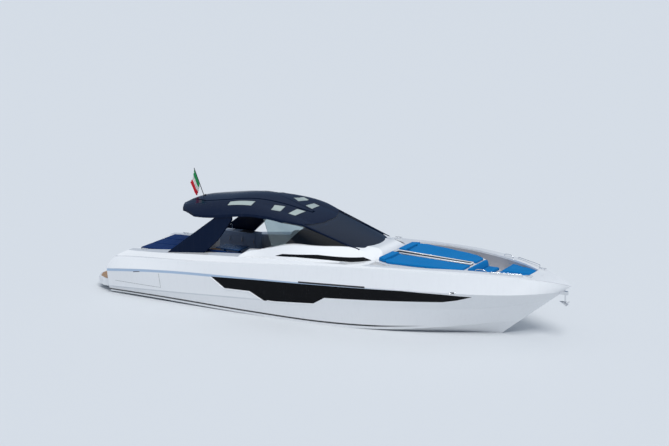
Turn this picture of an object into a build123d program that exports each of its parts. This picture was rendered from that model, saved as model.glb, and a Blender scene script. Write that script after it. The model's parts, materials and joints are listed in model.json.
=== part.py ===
"""Twenty-metre open sports yacht, afloat: hull, deck, hardtop, glazing, seats and running gear.

Millimetres. +X is forward, +Y is port, +Z is up. The origin is on the waterline, on the centreline,
amidships between the tip of the bow and the aft edge of the bathing platform.
"""
import os
from math import cos, radians, sin

from build123d import *

os.makedirs("parts", exist_ok=True)

# Hull lines. One row for each station plane, from the transom to the stem. A station cuts the
# centreline at x on the waterline and leans forward by rake millimetres for each millimetre up.
# After the keel depth come half breadth and height of chine, crease, knuckle and sheer.
STATIONS = (
    # x, rake, keel_z, chine_y, chine_z, crease_y, crease_z, knuckle_y, knuckle_z, sheer_y, sheer_z
    (-9300, 0.00, -560, 2060, 60, 2200, 320, 2290, 1080, 2080, 1530),
    (-6500, 0.00, -760, 2220, 90, 2370, 480, 2510, 1390, 2330, 1810),
    (-2500, 0.00, -840, 2270, 20, 2450, 700, 2600, 1600, 2470, 2140),
    (1500, 0.10, -850, 2090, -10, 2330, 930, 2570, 1780, 2430, 2480),
    (4200, 0.45, -780, 1620, 150, 1900, 1070, 2220, 1870, 2020, 2600),
    (6200, 0.85, -560, 880, 430, 1110, 1200, 1440, 1870, 1080, 2500),
    (7510, 1.29, -300, 25, 580, 25, 1600, 25, 1940, 25, 2150),
)
# Half breadth and height of the top outer edge of the deck moulding at the same stations
COAMING = ((1600, 1770), (1930, 1960), (2290, 2330), (2340, 2560), (1970, 2670), (1040, 2560), (25, 2200))
SHEER_STEP = 14            # shadow gap between hull side and deck moulding
DECK_OVERLAP = 60          # the deck's block starts this far under the sheer
STEM_HALF = 12             # least half breadth of the deck's block
QUARTER = ((-8500, 1850), (-8950, 1630), (-9230, 1300), (-9400, 950))   # sloping stern quarter, x and z
TRANSOM_X = -9300

# Glass let into the hull side, outline in x and z, and into the side of the cowl
HULL_GLASS = ((-3990, 1430), (-1870, 1560), (1050, 1700), (4390, 1830), (5910, 1810), (7050, 1750),
              (6440, 1560), (5890, 1450), (4200, 1350), (1140, 1170), (620, 870), (-1600, 710),
              (-2220, 1040), (-3390, 1010))
HULL_GLASS_SETBACK = 25
COWL_GLASS = ((-1190, 2510), (-310, 2565), (1120, 2590), (2800, 2560), (2330, 2690), (600, 2710), (-870, 2610))
GLASS = 20                 # thickness of every pane
PANE_INNER_Y = -600        # no side pane comes nearer to the centreline

# Cowl: the raised moulding round the helm, by transverse sections
COWL = (
    # x, base_y, base_z, top_y, top_z, crown_z
    (-2850, 2270, 2200, 2240, 2330, 2340),
    (-2350, 2270, 2200, 1990, 2560, 2600),
    (-1500, 2280, 2250, 1950, 2760, 2820),
    (300, 2290, 2350, 1800, 2990, 3000),
    (950, 2290, 2400, 1600, 3000, 3010),
    (1500, 2290, 2400, 1400, 3000, 3010),
    (1950, 2250, 2400, 1240, 2930, 2960),
    (2380, 2210, 2400, 1150, 2770, 2930),
    (2900, 2170, 2400, 1480, 2600, 2650),
)
CROWN_SHARE = 0.6          # of the half breadth, flat on top

# Levels
COCKPIT_SOLE = 1400
GARAGE_FLOOR = 800
HELM_SOLE = 1750
SIDE_DECK = 2050
BOW_SOLE = 1900
TEAK = 12
TEAK_EDGE = 30

# Wells cut down through the deck, half outlines in plan
COCKPIT_WELL = ((-6550, 1450), (-5000, 1640), (-2600, 1760))
HELM_WELL = ((-2600, 1760), (-1500, 1750), (300, 1600), (950, 1420), (1500, 1230), (1900, 1080))
FOREDECK_WELL = ((2880, 2010), (4200, 1930), (5400, 1700), (6900, 1260), (7420, 1080))
BOW_PAD_WELL = ((7420, 1080), (8000, 870), (8800, 480))
BOW_PAD_Z = 2360
TRUNK = ((2860, 1500), (3450, 1690), (4600, 1530), (5950, 1260), (6400, 980))
TRUNK_TOP = ((2860, 2620), (6400, 2500))
FOREDECK_PAD = ((2940, 1370), (3480, 1610), (4600, 1450), (5950, 1180), (6340, 890))
FOREDECK_PAD_INNER_Y = 250
PAD_THICK = 100
PAD_CORNER = 60
HEADREST_FWD = 3300
HEADREST_RISE = 50
FOREDECK_LIGHT = ((3000, 180), (6250, 120))
FOREDECK_LIGHT_RISE = 70
BOW_SEAT_FWD = 7080
BOW_SEAT_HALF = 800
BOW_SEAT_CUSHION_IN = (10, 20)   # in from the base's forward edge and sides
BOW_SEAT_Z = 2230
BOW_SEAT_CUSHION = 120
BOW_SEAT_BACK_Z = 2590
BOW_SEAT_BACK = (40, 160, 230)     # aft face, forward face at the top and at the cushion, from the trunk
BOW_PAD = ((7450, 1020), (8000, 820), (8700, 440))
HATCH = ((9150, 260), (9650, 160))
HATCH_THICK = 24
HATCH_LEDGE = 30
HATCH_BARREL_D = 20
HATCH_BARREL_L = 80
HATCH_BARRELS_Y = (-160, 160)
LOCKER_FLOOR = 2000
GARAGE_FWD_X = -6700
LID_HALF = 1300
LID_WALL = 60
LID_TOP = ((-8400, 1750), (-6720, 1790))
LID_FACE = ((-9300, 1120), (-9150, 1340), (-8850, 1590))     # raked face, from the transom up
LID_BARREL_D = 24
LID_BARREL_L = 120
LID_BARRELS_Y = (-1000, 0, 1000)
LID_STOPS_Y = (-800, 800)
LID_STOP_W = 80
LID_STOP_IN = 5             # inside the lid's two faces
AFT_PAD = ((-8330, 1250), (-6860, 1250))
AFT_PAD_THICK = 120
PLATFORM = ((-10350, 1300), (-10150, 1700), (-9800, 1900), (-9300, 2000))
PLATFORM_Z = 520
PLATFORM_THICK = 300
BOW_WELL_AFT = 7120
BOW_WELL_FWD = 7420
BOW_WELL_HALF = 900
DOOR_X = 1100
DOOR_Y = 250
DOOR_W = 700
DOOR_H = 1000
DOOR_THICK = 30
DOOR_PIN_D = 14
DOOR_PIN_IN = 24           # from the side of the doorway to the middle of the hinge pin
DOOR_EDGE_IN = 10          # from the middle of the pin to the edge of the door
COMPANION_L = 1200
COMPANION_SOLE = 1000

# Hardtop, by transverse sections
HARDTOP = (
    # x, edge_z, shoulder_z, crown_z
    (-6450, 3560, 3760, 3820),
    (-5300, 3700, 4020, 4100),
    (-3900, 3790, 4210, 4290),
    (-2400, 3970, 4180, 4250),
    (-1200, 3830, 3930, 3980),
    (-400, 3600, 3720, 3780),
    (100, 3440, 3530, 3590),
)
HARDTOP_HALF = 1830
SHOULDER_Y = 1000
HARDTOP_THICK = 110
HARDTOP_BULGE = 45
HARDTOP_CUT_Z = 3000
HARDTOP_PLAN = ((-6380, 700), (-5900, 1560), (-5200, 1830), (-2000, 1830), (-1150, 1740), (-380, 1440),
                (-150, 1000), (20, 450))
PANEL_PLAN = ((-6230, 400), (-5200, 880), (-4100, 860), (-2850, 520), (-1700, 230), (-750, 60))
PANEL_DEPTH = 40
PANEL_RISE = 14
PANEL_GAP = 60
SKYLIGHTS = (
    # corners in x and y: aft outer, forward outer, forward inner, aft inner
    ((-3900, 1340), (-2810, 1290), (-2860, 860), (-3910, 1090)),
    ((-1910, 1270), (-1580, 1120), (-1700, 500), (-2070, 720)),
    ((-1280, 1000), (-980, 960), (-920, 240), (-1270, 320)),
)

# Propellers, shafts and rudders
SHAFT_Y = 950
SHAFT_TILT = 8.0
SHAFT_D = 70
PROP_X = -7600
PROP_Z = -930
PROP_HUB_D = 150
PROP_HUB_L = 190
PROP_BLADES = 5
PROP_BLADE = (
    # radius, chord, pitch angle, thickness
    (60, 150, 62, 26),
    (250, 250, 38, 16),
    (380, 110, 26, 6),
)
SHAFT_L = 4200
BARREL_L = 260
BARREL_D = 119
ARM_HALF = (110, 18)       # of the arm's faired section, along and across the boat
ARM_REACH = 900            # up into the hull, which trims it
BARREL_GAP = 60
BARREL_BORE_GAP = 0.3
RUDDER_X = -8550
RUDDER_TOP_Z = -420
RUDDER_TOP_GAP = 30
RUDDER_CHORD = 520
RUDDER_DEPTH = 640
RUDDER_THICK = 60
RUDDER_STOCK_D = 60
RUDDER_BOSS_D = 156
RUDDER_BOSS_H = 300
RUDDER_TIP = 0.72          # chord at the foot, of the chord at the top
RUDDER_NOSE = 0.35         # part of the chord ahead of the stock
RUDDER_TAIL_HALF = 4

# Legs, pillars and glass that carry and close the space under the hardtop
LEG_OUTLINE = ((-6650, 1900), (-4200, 3660), (-4200, 4400), (-3450, 4400), (-3450, 3600), (-4150, 2700),
               (-5050, 1900))
LEG_Y = 1680
LEG_THICK = 110
PILLAR = ((-430, 1440, 3660), (2040, 1240, 2850))
PILLAR_THICK = 75
PILLAR_DEEP = 120
SCREEN_FOOT = (1950, 1210, 2880)
SCREEN_APEX = (2340, 0, 2900)
SCREEN_HEAD = (-370, 1400, 3640)
SCREEN_CROWN = (-30, 0, 3600)
SIDE_GLASS = (
    # x, y and z along the foot, then along the head
    ((-1500, 1880, 2730), (-500, 1790, 2870), (300, 1690, 2960), (950, 1520, 2980), (1750, 1270, 2920)),
    ((-1950, 1780, 3900), (-1500, 1750, 3850), (-1050, 1680, 3760), (-650, 1570, 3680), (-330, 1420, 3610)),
)

# Helm
CONSOLE = ((1100, 1750), (1100, 2350), (950, 2560), (1250, 2860), (1880, 2890), (1880, 1750))
CONSOLE_HALF = 1330
WHEEL_Y = -620
WHEEL_D = 400
WHEEL_RIM_D = 32
WHEEL_HUB = (90, 40)       # diameter and depth
WHEEL_SPOKE = (34, 12)     # breadth and thickness
WHEEL_STEM = 110
WHEEL_STEM_D = 40

# Cockpit furniture
SOFA_X = (-5650, -2950)
SOFA_Y = (-1560, -350)
SOFA_DEEP = 560
SOFA_BASE_H = 380
SOFA_CUSHION = 120
SOFA_BACK_H = 330
SOFA_BACK_THICK = 130
TABLE_X = (-4850, -3750)
TABLE_Y = (-850, -100)
TABLE_Z = 2140
TABLE_THICK = 40
TABLE_LEG_D = 100
TABLE_LEG_IN = 200
BAR_X = (-5900, -4100)
BAR_Y = (1050, 1480)
BAR_Z = 2330
HELM_SEAT_X = -50
HELM_SEAT_Y = (-980, -260)
HELM_SEAT_W = 640
HELM_SEAT_Z = 2230
HELM_SEAT_BASE = (60, 420, 60)     # aft and forward face from HELM_SEAT_X, and how far in at each side
HELM_SEAT_SIDE = ((-130, 0), (480, 0), (500, 130), (20, 130), (-70, 620), (-190, 600))

# Deck fittings: place of each cleat and the corners of the bow rail
CLEATS = ((-7900, 1500), (1900, 2260), (8900, 620))
CLEAT_BAR = (32, 300)      # diameter and length
CLEAT_LEG = (28, 60, 70)   # diameter, height and distance from the middle
BOW_RAIL_D = 28
BOW_RAIL_BEND = 40
BOW_RAIL = ((7600, 1260, 2500), (7600, 1260, 2690), (8700, 800, 2620), (8700, 800, 2400))

ROLLER_X = (9700, 10190)
ROLLER_HALF = 55
ROLLER_Z = (1830, 1960)
ANCHOR_SHANK = (10060, 10110, 14)  # aft and forward face, half breadth
ANCHOR_FOOT_Z = 1470
ANCHOR_PLOUGH = ((9850, 1560), (10140, 1390), (10215, 1450), (10130, 1520))
ANCHOR_FLUKE = ((9850, 0, 1560), (10140, 0, 1395), (10190, 190, 1530))
ANCHOR_PLATE = 14

# Flag staff, x and z of its foot and head, and the hanging cloth, down from the head and out from the staff
STAFF = ((-5850, 3850), (-6360, 5120))
STAFF_D = 30
FLAG = ((40, 0), (700, 0), (900, 145), (1130, 310), (1020, 425), (520, 425), (470, 255), (290, 195))
FLAG_THICK = 50

# Cutting blocks are far larger than what they cut
CUT_TOP = 5000
CUT_HALF = 3200

SOFT_GAP = 0.3
RUN_GAP = 6                # clearance round moving pieces


def polygon(points):
    return Face(Wire.make_polygon([Vector(*p) for p in points], close=True))


def prism_xz(outline, y0, y1):
    """Side-view outline, given as x and z, drawn out across the boat from y0 to y1."""
    return extrude(polygon([(x, y0, z) for x, z in outline]), amount=y1 - y0, dir=(0, 1, 0))


def prism_xy(outline, z0, z1):
    """Plan outline, given as x and y, raised from z0 to z1."""
    return extrude(polygon([(x, y, z0) for x, y in outline]), amount=z1 - z0, dir=(0, 0, 1))


def both_sides(half):
    """Closed plan outline from the points of its port half, listed from aft to forward."""
    return list(half) + [(x, -y) for x, y in reversed(half)]


def box(x0, x1, y0, y1, z0, z1):
    return Pos((x0 + x1) / 2, (y0 + y1) / 2, (z0 + z1) / 2) * Box(x1 - x0, y1 - y0, z1 - z0)


def top_of(shape, x, y):
    """Height of the top of a shape at a place in plan."""
    return (shape & box(x - 1, x + 1, y - 1, y + 1, 0, CUT_TOP)).bounding_box().max.Z


def solid_of(shape):
    """The one solid of a result that holds a single solid."""
    found = shape.solids()
    return found[0] if len(found) == 1 else max(found, key=lambda s: s.volume)


def section(points):
    """Closed wire through half a section, listed from the centreline up, and its mirror image."""
    other = [(x, -y, z) for x, y, z in reversed(points) if y > 0]
    return Wire.make_polygon([Vector(*p) for p in list(points) + other], close=True)


def port(shape):
    return mirror(shape, about=Plane.XZ)


def hull_block():
    wires = []
    for x, rake, keel_z, *lines in STATIONS:
        points = [(x + rake * keel_z, 0, keel_z)]
        for y, z in zip(lines[0::2], lines[1::2]):
            points.append((x + rake * z, y, z))
        wires.append(section(points))
    return Solid.make_loft(wires)


def deck_block():
    """Everything inside the deck moulding's outer faces, down to well below the sheer."""
    wires = []
    for (x, rake, *lines), (top_y, top_z) in zip(STATIONS, COAMING):
        sheer_y, sheer_z = lines[-2], lines[-1]
        low_z = sheer_z - DECK_OVERLAP
        side = max(sheer_y - SHEER_STEP, STEM_HALF)
        wires.append(Wire.make_polygon([
            Vector(x + rake * low_z, side, low_z), Vector(x + rake * top_z, min(top_y, side), top_z),
            Vector(x + rake * top_z, -min(top_y, side), top_z), Vector(x + rake * low_z, -side, low_z)],
            close=True))
    return Solid.make_loft(wires)


def cowl_block():
    wires = []
    for x, base_y, base_z, top_y, top_z, crown_z in COWL:
        wires.append(Wire.make_polygon([
            Vector(x, base_y, base_z), Vector(x, top_y, top_z), Vector(x, top_y * CROWN_SHARE, crown_z),
            Vector(x, -top_y * CROWN_SHARE, crown_z), Vector(x, -top_y, top_z), Vector(x, -base_y, base_z)],
            close=True))
    return Solid.make_loft(wires)


def hardtop_block():
    wires = []
    for x, edge_z, shoulder_z, crown_z in HARDTOP:
        mid_y = (HARDTOP_HALF + SHOULDER_Y) / 2
        bulge_z = (edge_z + shoulder_z) / 2 + HARDTOP_BULGE

        def at(y, z, down=0.0):
            return Vector(x, y, z - down)

        edges = []
        for down in (0.0, HARDTOP_THICK):
            row = [
                Edge.make_three_point_arc(at(HARDTOP_HALF, edge_z, down), at(mid_y, bulge_z, down),
                                          at(SHOULDER_Y, shoulder_z, down)),
                Edge.make_three_point_arc(at(SHOULDER_Y, shoulder_z, down), at(0, crown_z, down),
                                          at(-SHOULDER_Y, shoulder_z, down)),
                Edge.make_three_point_arc(at(-SHOULDER_Y, shoulder_z, down), at(-mid_y, bulge_z, down),
                                          at(-HARDTOP_HALF, edge_z, down))]
            edges.append(row)
        closing = [Edge.make_line(at(s * HARDTOP_HALF, edge_z), at(s * HARDTOP_HALF, edge_z, HARDTOP_THICK))
                   for s in (1, -1)]
        wires.append(Wire(edges[0] + edges[1] + closing))
    return Solid.make_loft(wires)


def glazing(shell, outline, setback):
    """Pane let into the starboard side of a moulding, and the pocket that it sits in."""
    slab = shell & prism_xz(outline, -CUT_HALF, PANE_INNER_Y)
    pocket = slab - shell.moved(Location((0, setback + GLASS, 0)))
    pane = pocket & shell.moved(Location((0, setback, 0))) if setback else pocket
    return solid_of(pane), solid_of(pocket)


def tube(points, diameter, bend):
    """Round rail through a few points, with the same bend radius at each corner."""
    path = FilletPolyline(*[Vector(*p) for p in points], radius=bend)
    start = Plane(origin=path @ 0, z_dir=path % 0)
    return sweep(start * Circle(diameter / 2), path=path)


def write(name, shape):
    export_step(shape, f"parts/{name}.step")


def quarter_cut():
    """Everything above the sloping stern quarters."""
    slope = list(reversed(QUARTER))
    aft_x = slope[0][0] - CUT_HALF
    return prism_xz([(aft_x, slope[0][1])] + slope + [(slope[-1][0], CUT_TOP), (aft_x, CUT_TOP)],
                    -CUT_HALF, CUT_HALF)


def foredeck_trunk():
    """Raised deck under the foredeck sunpads, from the cowl to the bow well, with the bow seat's base."""
    plan = prism_xy(both_sides(TRUNK), SIDE_DECK, CUT_TOP)
    side = prism_xz(TRUNK_TOP + ((TRUNK_TOP[1][0], SIDE_DECK), (TRUNK_TOP[0][0], SIDE_DECK)), -CUT_HALF, CUT_HALF)
    seat = box(TRUNK[-1][0] - 1, BOW_SEAT_FWD, -BOW_SEAT_HALF, BOW_SEAT_HALF, SIDE_DECK, BOW_SEAT_Z)
    return (plan & side) + seat


def mouldings():
    """Hull, deck moulding and cowl, with their wells, and the panes let into them."""
    hull = hull_block()
    deck_solid = deck_block()
    deck = deck_solid - hull
    cowl = cowl_block() - hull - deck_solid
    hull_pane, hull_pocket = glazing(hull, HULL_GLASS, HULL_GLASS_SETBACK)
    cowl_pane, cowl_pocket = glazing(cowl, COWL_GLASS, 0)
    cockpit = prism_xy(both_sides(COCKPIT_WELL), COCKPIT_SOLE, CUT_TOP)
    helm = prism_xy(both_sides(HELM_WELL), HELM_SOLE, CUT_TOP)
    foredeck = prism_xy(both_sides(FOREDECK_WELL), SIDE_DECK, CUT_TOP)
    foredeck = foredeck + prism_xy(both_sides(BOW_PAD_WELL), BOW_PAD_Z, CUT_TOP)
    bow = box(BOW_WELL_AFT, BOW_WELL_FWD, -BOW_WELL_HALF, BOW_WELL_HALF, BOW_SOLE, SIDE_DECK + RUN_GAP)
    garage = box(TRANSOM_X - 10, GARAGE_FWD_X, -LID_HALF - RUN_GAP, LID_HALF + RUN_GAP, GARAGE_FLOOR, CUT_TOP)
    companionway = box(DOOR_X, DOOR_X + COMPANION_L, DOOR_Y, DOOR_Y + DOOR_W, COMPANION_SOLE,
                       HELM_SOLE + DOOR_H)
    quarter = quarter_cut()
    hull = hull - hull_pocket - port(hull_pocket) - cockpit - helm - foredeck - bow
    hull = hull - garage - quarter - companionway
    deck = deck - cockpit - helm - foredeck - garage - quarter
    cowl = cowl - cowl_pocket - port(cowl_pocket) - cockpit - helm - foredeck
    hatch, ledge = prism_xy(both_sides(HATCH), LOCKER_FLOOR, CUT_TOP), HATCH_LEDGE
    locker = prism_xy(both_sides(((HATCH[0][0] + ledge, HATCH[0][1] - ledge),
                                  (HATCH[1][0] - ledge, HATCH[1][1] - ledge))), LOCKER_FLOOR, CUT_TOP)
    lid = anchor_hatch(deck)
    deck = deck - ((deck & hatch) - deck.moved(Location((0, 0, -HATCH_LEDGE)))) - locker
    hull = hull - locker
    return hull, deck, cowl, hull_pane, cowl_pane, lid


def anchor_hatch(deck):
    """Hatch cut from the deck's skin, with the two barrels on its aft edge that it turns on."""
    radius = HATCH_BARREL_D / 2
    (aft_x, aft_y), (fwd_x, fwd_y) = HATCH
    edge = top_of(deck, aft_x - 1, 0)
    axis_x, axis_z = aft_x + SOFT_GAP + radius, edge - radius
    outline = ((axis_x, aft_y - RUN_GAP), (fwd_x - RUN_GAP, fwd_y - RUN_GAP))
    lid = (deck & prism_xy(both_sides(outline), LOCKER_FLOOR, CUT_TOP)) - deck.moved(Location((0, 0, -HATCH_THICK)))
    for y in HATCH_BARRELS_Y:
        lid += Pos(axis_x, y, axis_z) * Rot(90, 0, 0) * Cylinder(radius, HATCH_BARREL_L)
    print(f"anchor hatch turns at x {axis_x:.1f}, z {axis_z:.1f}")
    return solid_of(lid)


def rudder_boss(side):
    return Pos(RUDDER_X, side * SHAFT_Y, RUDDER_TOP_Z) * Cylinder(
        RUDDER_BOSS_D / 2, RUDDER_BOSS_H, align=(Align.CENTER, Align.CENTER, Align.MIN))


def rudder():
    """Starboard rudder: a tapered foil on a round stock."""
    stock = Pos(RUDDER_X, -SHAFT_Y, RUDDER_TOP_Z - SOFT_GAP) * Cylinder(
        RUDDER_STOCK_D / 2, RUDDER_DEPTH * 0.8, align=(Align.CENTER, Align.CENTER, Align.MAX))
    wires = []
    for z, chord in ((RUDDER_TOP_Z - RUDDER_TOP_GAP, RUDDER_CHORD),
                     (RUDDER_TOP_Z - RUDDER_DEPTH, RUDDER_CHORD * RUDDER_TIP)):
        nose, tail = RUDDER_X + chord * RUDDER_NOSE, RUDDER_X - chord * (1 - RUDDER_NOSE)
        half = RUDDER_THICK / 2 * chord / RUDDER_CHORD
        wires.append(Wire([
            Edge.make_three_point_arc(Vector(RUDDER_X, -SHAFT_Y - half, z), Vector(nose, -SHAFT_Y, z),
                                      Vector(RUDDER_X, -SHAFT_Y + half, z)),
            Edge.make_line(Vector(RUDDER_X, -SHAFT_Y + half, z), Vector(tail, -SHAFT_Y + RUDDER_TAIL_HALF, z)),
            Edge.make_line(Vector(tail, -SHAFT_Y + RUDDER_TAIL_HALF, z), Vector(tail, -SHAFT_Y - RUDDER_TAIL_HALF, z)),
            Edge.make_line(Vector(tail, -SHAFT_Y - RUDDER_TAIL_HALF, z), Vector(RUDDER_X, -SHAFT_Y - half, z))]))
    return stock + Solid.make_loft(wires, ruled=True)


def shaft_plane(side, along=0.0):
    """Plane across the shaft, its normal pointing forward and up, moved along the shaft."""
    tilt = radians(SHAFT_TILT)
    ahead = Vector(cos(tilt), 0, sin(tilt))
    return Plane(origin=Vector(PROP_X, side * SHAFT_Y, PROP_Z) + ahead * along,
                 x_dir=(0, 1, 0), z_dir=ahead)


def propeller(side):
    """Hub with skewed blades, turning about the shaft."""
    local = Cylinder(PROP_HUB_D / 2, PROP_HUB_L)
    local += Pos(0, 0, -PROP_HUB_L / 2) * Cone(PROP_HUB_D * 0.2, PROP_HUB_D / 2, PROP_HUB_D * 0.7,
                                                 align=(Align.CENTER, Align.CENTER, Align.MAX))
    wires = []
    for r, chord, pitch, thick in PROP_BLADE:
        across = Plane(origin=(r, 0, 0), x_dir=(0, cos(radians(pitch)), side * sin(radians(pitch))),
                       z_dir=(1, 0, 0))
        half, rise = chord / 2, thick / 2
        wires.append(across * Wire([
            Edge.make_three_point_arc((-half, 0, 0), (0, rise, 0), (half, 0, 0)),
            Edge.make_three_point_arc((half, 0, 0), (0, -rise, 0), (-half, 0, 0))]))
    blade = Solid.make_loft(wires)
    for k in range(PROP_BLADES):
        local += Rot(0, 0, 360 * k / PROP_BLADES) * blade
    return shaft_plane(side) * local


def shaft(side, clear=0):
    """Propeller shaft, or with some clearance the bore that it turns in."""
    return shaft_plane(side, PROP_HUB_L / 2) * Cylinder(
        SHAFT_D / 2 + clear, SHAFT_L + clear, align=(Align.CENTER, Align.CENTER, Align.MIN))


def shaft_bracket(side, hull):
    """Bearing barrel round the shaft, hung from the hull bottom by one faired arm."""
    middle = PROP_HUB_L / 2 + BARREL_GAP + BARREL_L / 2
    barrel = shaft_plane(side, middle) * Cylinder(BARREL_D / 2, BARREL_L)
    bore = shaft_plane(side, middle) * Cylinder(SHAFT_D / 2 + BARREL_BORE_GAP, 2 * BARREL_L)
    foot = shaft_plane(side, middle).origin
    arm = Pos(foot.X, foot.Y, foot.Z) * extrude(Ellipse(*ARM_HALF), amount=ARM_REACH)
    return solid_of(barrel + arm - hull - bore)


def pillar(side):
    """Windscreen pillar from the hardtop's front corner down to the cowl."""
    wires = []
    for x, y, z in PILLAR:
        out, inner = side * y, side * (y - PILLAR_THICK)
        low, high = z - PILLAR_DEEP / 2, z + PILLAR_DEEP / 2
        wires.append(Wire.make_polygon([Vector(x, out, low), Vector(x, out, high), Vector(x, inner, high),
                                        Vector(x, inner, low)], close=True))
    return Solid.make_loft(wires, ruled=True)


def hardtop_parts():
    roof = hardtop_block()
    plan = prism_xy(both_sides(HARDTOP_PLAN), HARDTOP_CUT_Z, CUT_TOP)
    roof = roof & plan
    lower = roof.moved(Location((0, 0, -PANEL_DEPTH)))
    outline = both_sides(PANEL_PLAN)
    recess = grown_prism(outline, PANEL_GAP)
    body = roof - (recess - lower)
    panel = (grown_prism(outline, 0) & roof.moved(Location((0, 0, PANEL_RISE)))) - body
    lights = []
    for corners in SKYLIGHTS:
        shape = prism_xy(corners, HARDTOP_CUT_Z, CUT_TOP)
        light = solid_of((shape & body) - body.moved(Location((0, 0, -GLASS))))
        lights += [light, port(light)]
    for light in lights:
        body = body - light
    return solid_of(body), solid_of(panel), Compound(children=lights)


def grown_prism(outline, grow):
    """Plan outline, moved out by grow, as a tall block through the hardtop."""
    face = polygon([(x, y, HARDTOP_CUT_Z) for x, y in outline])
    if grow:
        face = offset(face, amount=grow, kind=Kind.INTERSECTION)
    return extrude(face, amount=CUT_TOP - HARDTOP_CUT_Z, dir=(0, 0, 1))


def leg(side, hull, deck, roof):
    """Broad raked leg that carries the aft half of the hardtop."""
    y0, y1 = sorted((side * LEG_Y, side * (LEG_Y + LEG_THICK)))
    raw = prism_xz(LEG_OUTLINE, y0, y1)
    return solid_of(raw - deck - hull - roof)


def windscreen():
    """Curved raked pane between the hardtop's front edge and the cowl."""
    def arc(end, middle):
        x, y, z = end
        return Edge.make_three_point_arc(Vector(x, -y, z), Vector(*middle), Vector(x, y, z))
    return thicken(Face.make_surface_from_curves(arc(SCREEN_FOOT, SCREEN_APEX), arc(SCREEN_HEAD, SCREEN_CROWN)),
                   amount=GLASS)


def side_glass():
    """Starboard pane, curved in plan, from the cowl's edge up to the hardtop."""
    foot, top = [Edge.make_spline([Vector(x, -y, z) for x, y, z in row]) for row in SIDE_GLASS]
    return thicken(Face.make_surface_from_curves(foot, top), amount=GLASS)


def stern_lid():
    """Raked transom face, quarter slope and flat top in one, with hinge barrels and stops."""
    (face_x, face_z), low, high = LID_FACE
    (aft_x, aft_z), (edge_x, edge_z) = LID_TOP
    sill_z, wall = GARAGE_FLOOR + RUN_GAP, LID_WALL
    outer = [(face_x, sill_z), (face_x, face_z), low, high, (aft_x, aft_z), (edge_x, edge_z)]
    inner = [(face_x + wall, sill_z), (face_x + wall, face_z - wall / 2), (low[0] + wall * 0.8, low[1] - wall),
             (high[0] + wall / 2, high[1] - wall), (aft_x, aft_z - wall), (edge_x, edge_z - wall)]
    lid = prism_xz(outer + list(reversed(inner)), -LID_HALF, LID_HALF)
    radius = LID_BARREL_D / 2
    for y in LID_BARRELS_Y:
        lid += Pos(GARAGE_FWD_X - SOFT_GAP - radius, y, edge_z - radius) * Rot(90, 0, 0) * Cylinder(
            radius, LID_BARREL_L)
    for y in LID_STOPS_Y:
        lid += box(face_x + LID_STOP_IN, face_x + wall - LID_STOP_IN, y - LID_STOP_W / 2, y + LID_STOP_W / 2,
                   GARAGE_FLOOR + SOFT_GAP, sill_z + wall)
    return lid


def door():
    """Companionway door with the pin that it turns on, standing on the helm sole."""
    pin_y = DOOR_Y + DOOR_W - DOOR_PIN_IN
    leaf = box(DOOR_X - DOOR_THICK, DOOR_X, DOOR_Y + RUN_GAP, pin_y + DOOR_EDGE_IN, HELM_SOLE + TEAK + RUN_GAP,
               HELM_SOLE + DOOR_H - RUN_GAP)
    return leaf + Pos(DOOR_X - DOOR_THICK / 2, pin_y, HELM_SOLE + SOFT_GAP) * Cylinder(
        DOOR_PIN_D / 2, DOOR_H / 2, align=(Align.CENTER, Align.CENTER, Align.MIN))


def staff_plane():
    """Plane at the head of the flag staff: x runs down the staff, y out from it and aft."""
    (foot_x, foot_z), (head_x, head_z) = STAFF
    down = Vector(foot_x - head_x, 0, foot_z - head_z).normalized()
    return Plane(origin=Vector(head_x, 0, head_z), x_dir=down, z_dir=(0, 1, 0))


def wheel():
    """Rim, three spokes and hub with the stem that enters the console."""
    local = Torus(WHEEL_D / 2, WHEEL_RIM_D / 2)
    local += Cylinder(WHEEL_HUB[0] / 2, WHEEL_HUB[1])
    for k in range(3):
        local += Rot(0, 0, 90 + 120 * k) * Pos(WHEEL_D / 4, 0, 0) * Box(WHEEL_D / 2, *WHEEL_SPOKE)
    local += Cylinder(WHEEL_STEM_D / 2, WHEEL_STEM, align=(Align.CENTER, Align.CENTER, Align.MAX))
    return wheel_plane() * local


def wheel_plane():
    """Plane of the steering wheel, square to the sloping face of the console."""
    (x0, z0), (x1, z1) = CONSOLE[2], CONSOLE[3]
    run = Vector(x1 - x0, 0, z1 - z0).normalized()
    normal = Vector(-run.Z, 0, run.X)
    middle = Vector((x0 + x1) / 2, WHEEL_Y, (z0 + z1) / 2)
    return Plane(origin=middle + normal * (WHEEL_STEM + SOFT_GAP), x_dir=(0, 1, 0), z_dir=normal)


def pad(outline, z, thick, radius=PAD_CORNER):
    """Flat cushion with rounded corners in plan, lying on the surface at height z."""
    face = polygon([(x, y, z + SOFT_GAP) for x, y in outline])
    face = fillet(face.vertices(), radius)
    return extrude(face, amount=thick, dir=(0, 0, 1))


def on_slope(outline, slope, thick, gap=SOFT_GAP):
    """Plan outline standing on a slope, which is given by x and z at its two ends."""
    (x0, z0), (x1, z1) = slope
    z0, z1 = z0 + gap, z1 + gap
    slab = prism_xz(((x0, z0), (x1, z1), (x1, z1 + thick), (x0, z0 + thick)), -CUT_HALF, CUT_HALF)
    return prism_xy(outline, 0, CUT_TOP) & slab


def sole_on(well, z):
    """Teak laid on the floor of a well, a little short of its sides."""
    return prism_xy(both_sides([(x, y - TEAK_EDGE) for x, y in well]), z, z + TEAK)


def sofa(height, z):
    """U of three runs round the table, open towards the centreline."""
    (x0, x1), (y0, y1) = SOFA_X, SOFA_Y
    runs = box(x0, x0 + SOFA_DEEP, y0, y1, z, z + height)
    runs = runs + box(x1 - SOFA_DEEP, x1, y0, y1, z, z + height)
    return runs + box(x0, x1, y0, y0 + SOFA_DEEP, z, z + height)


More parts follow.
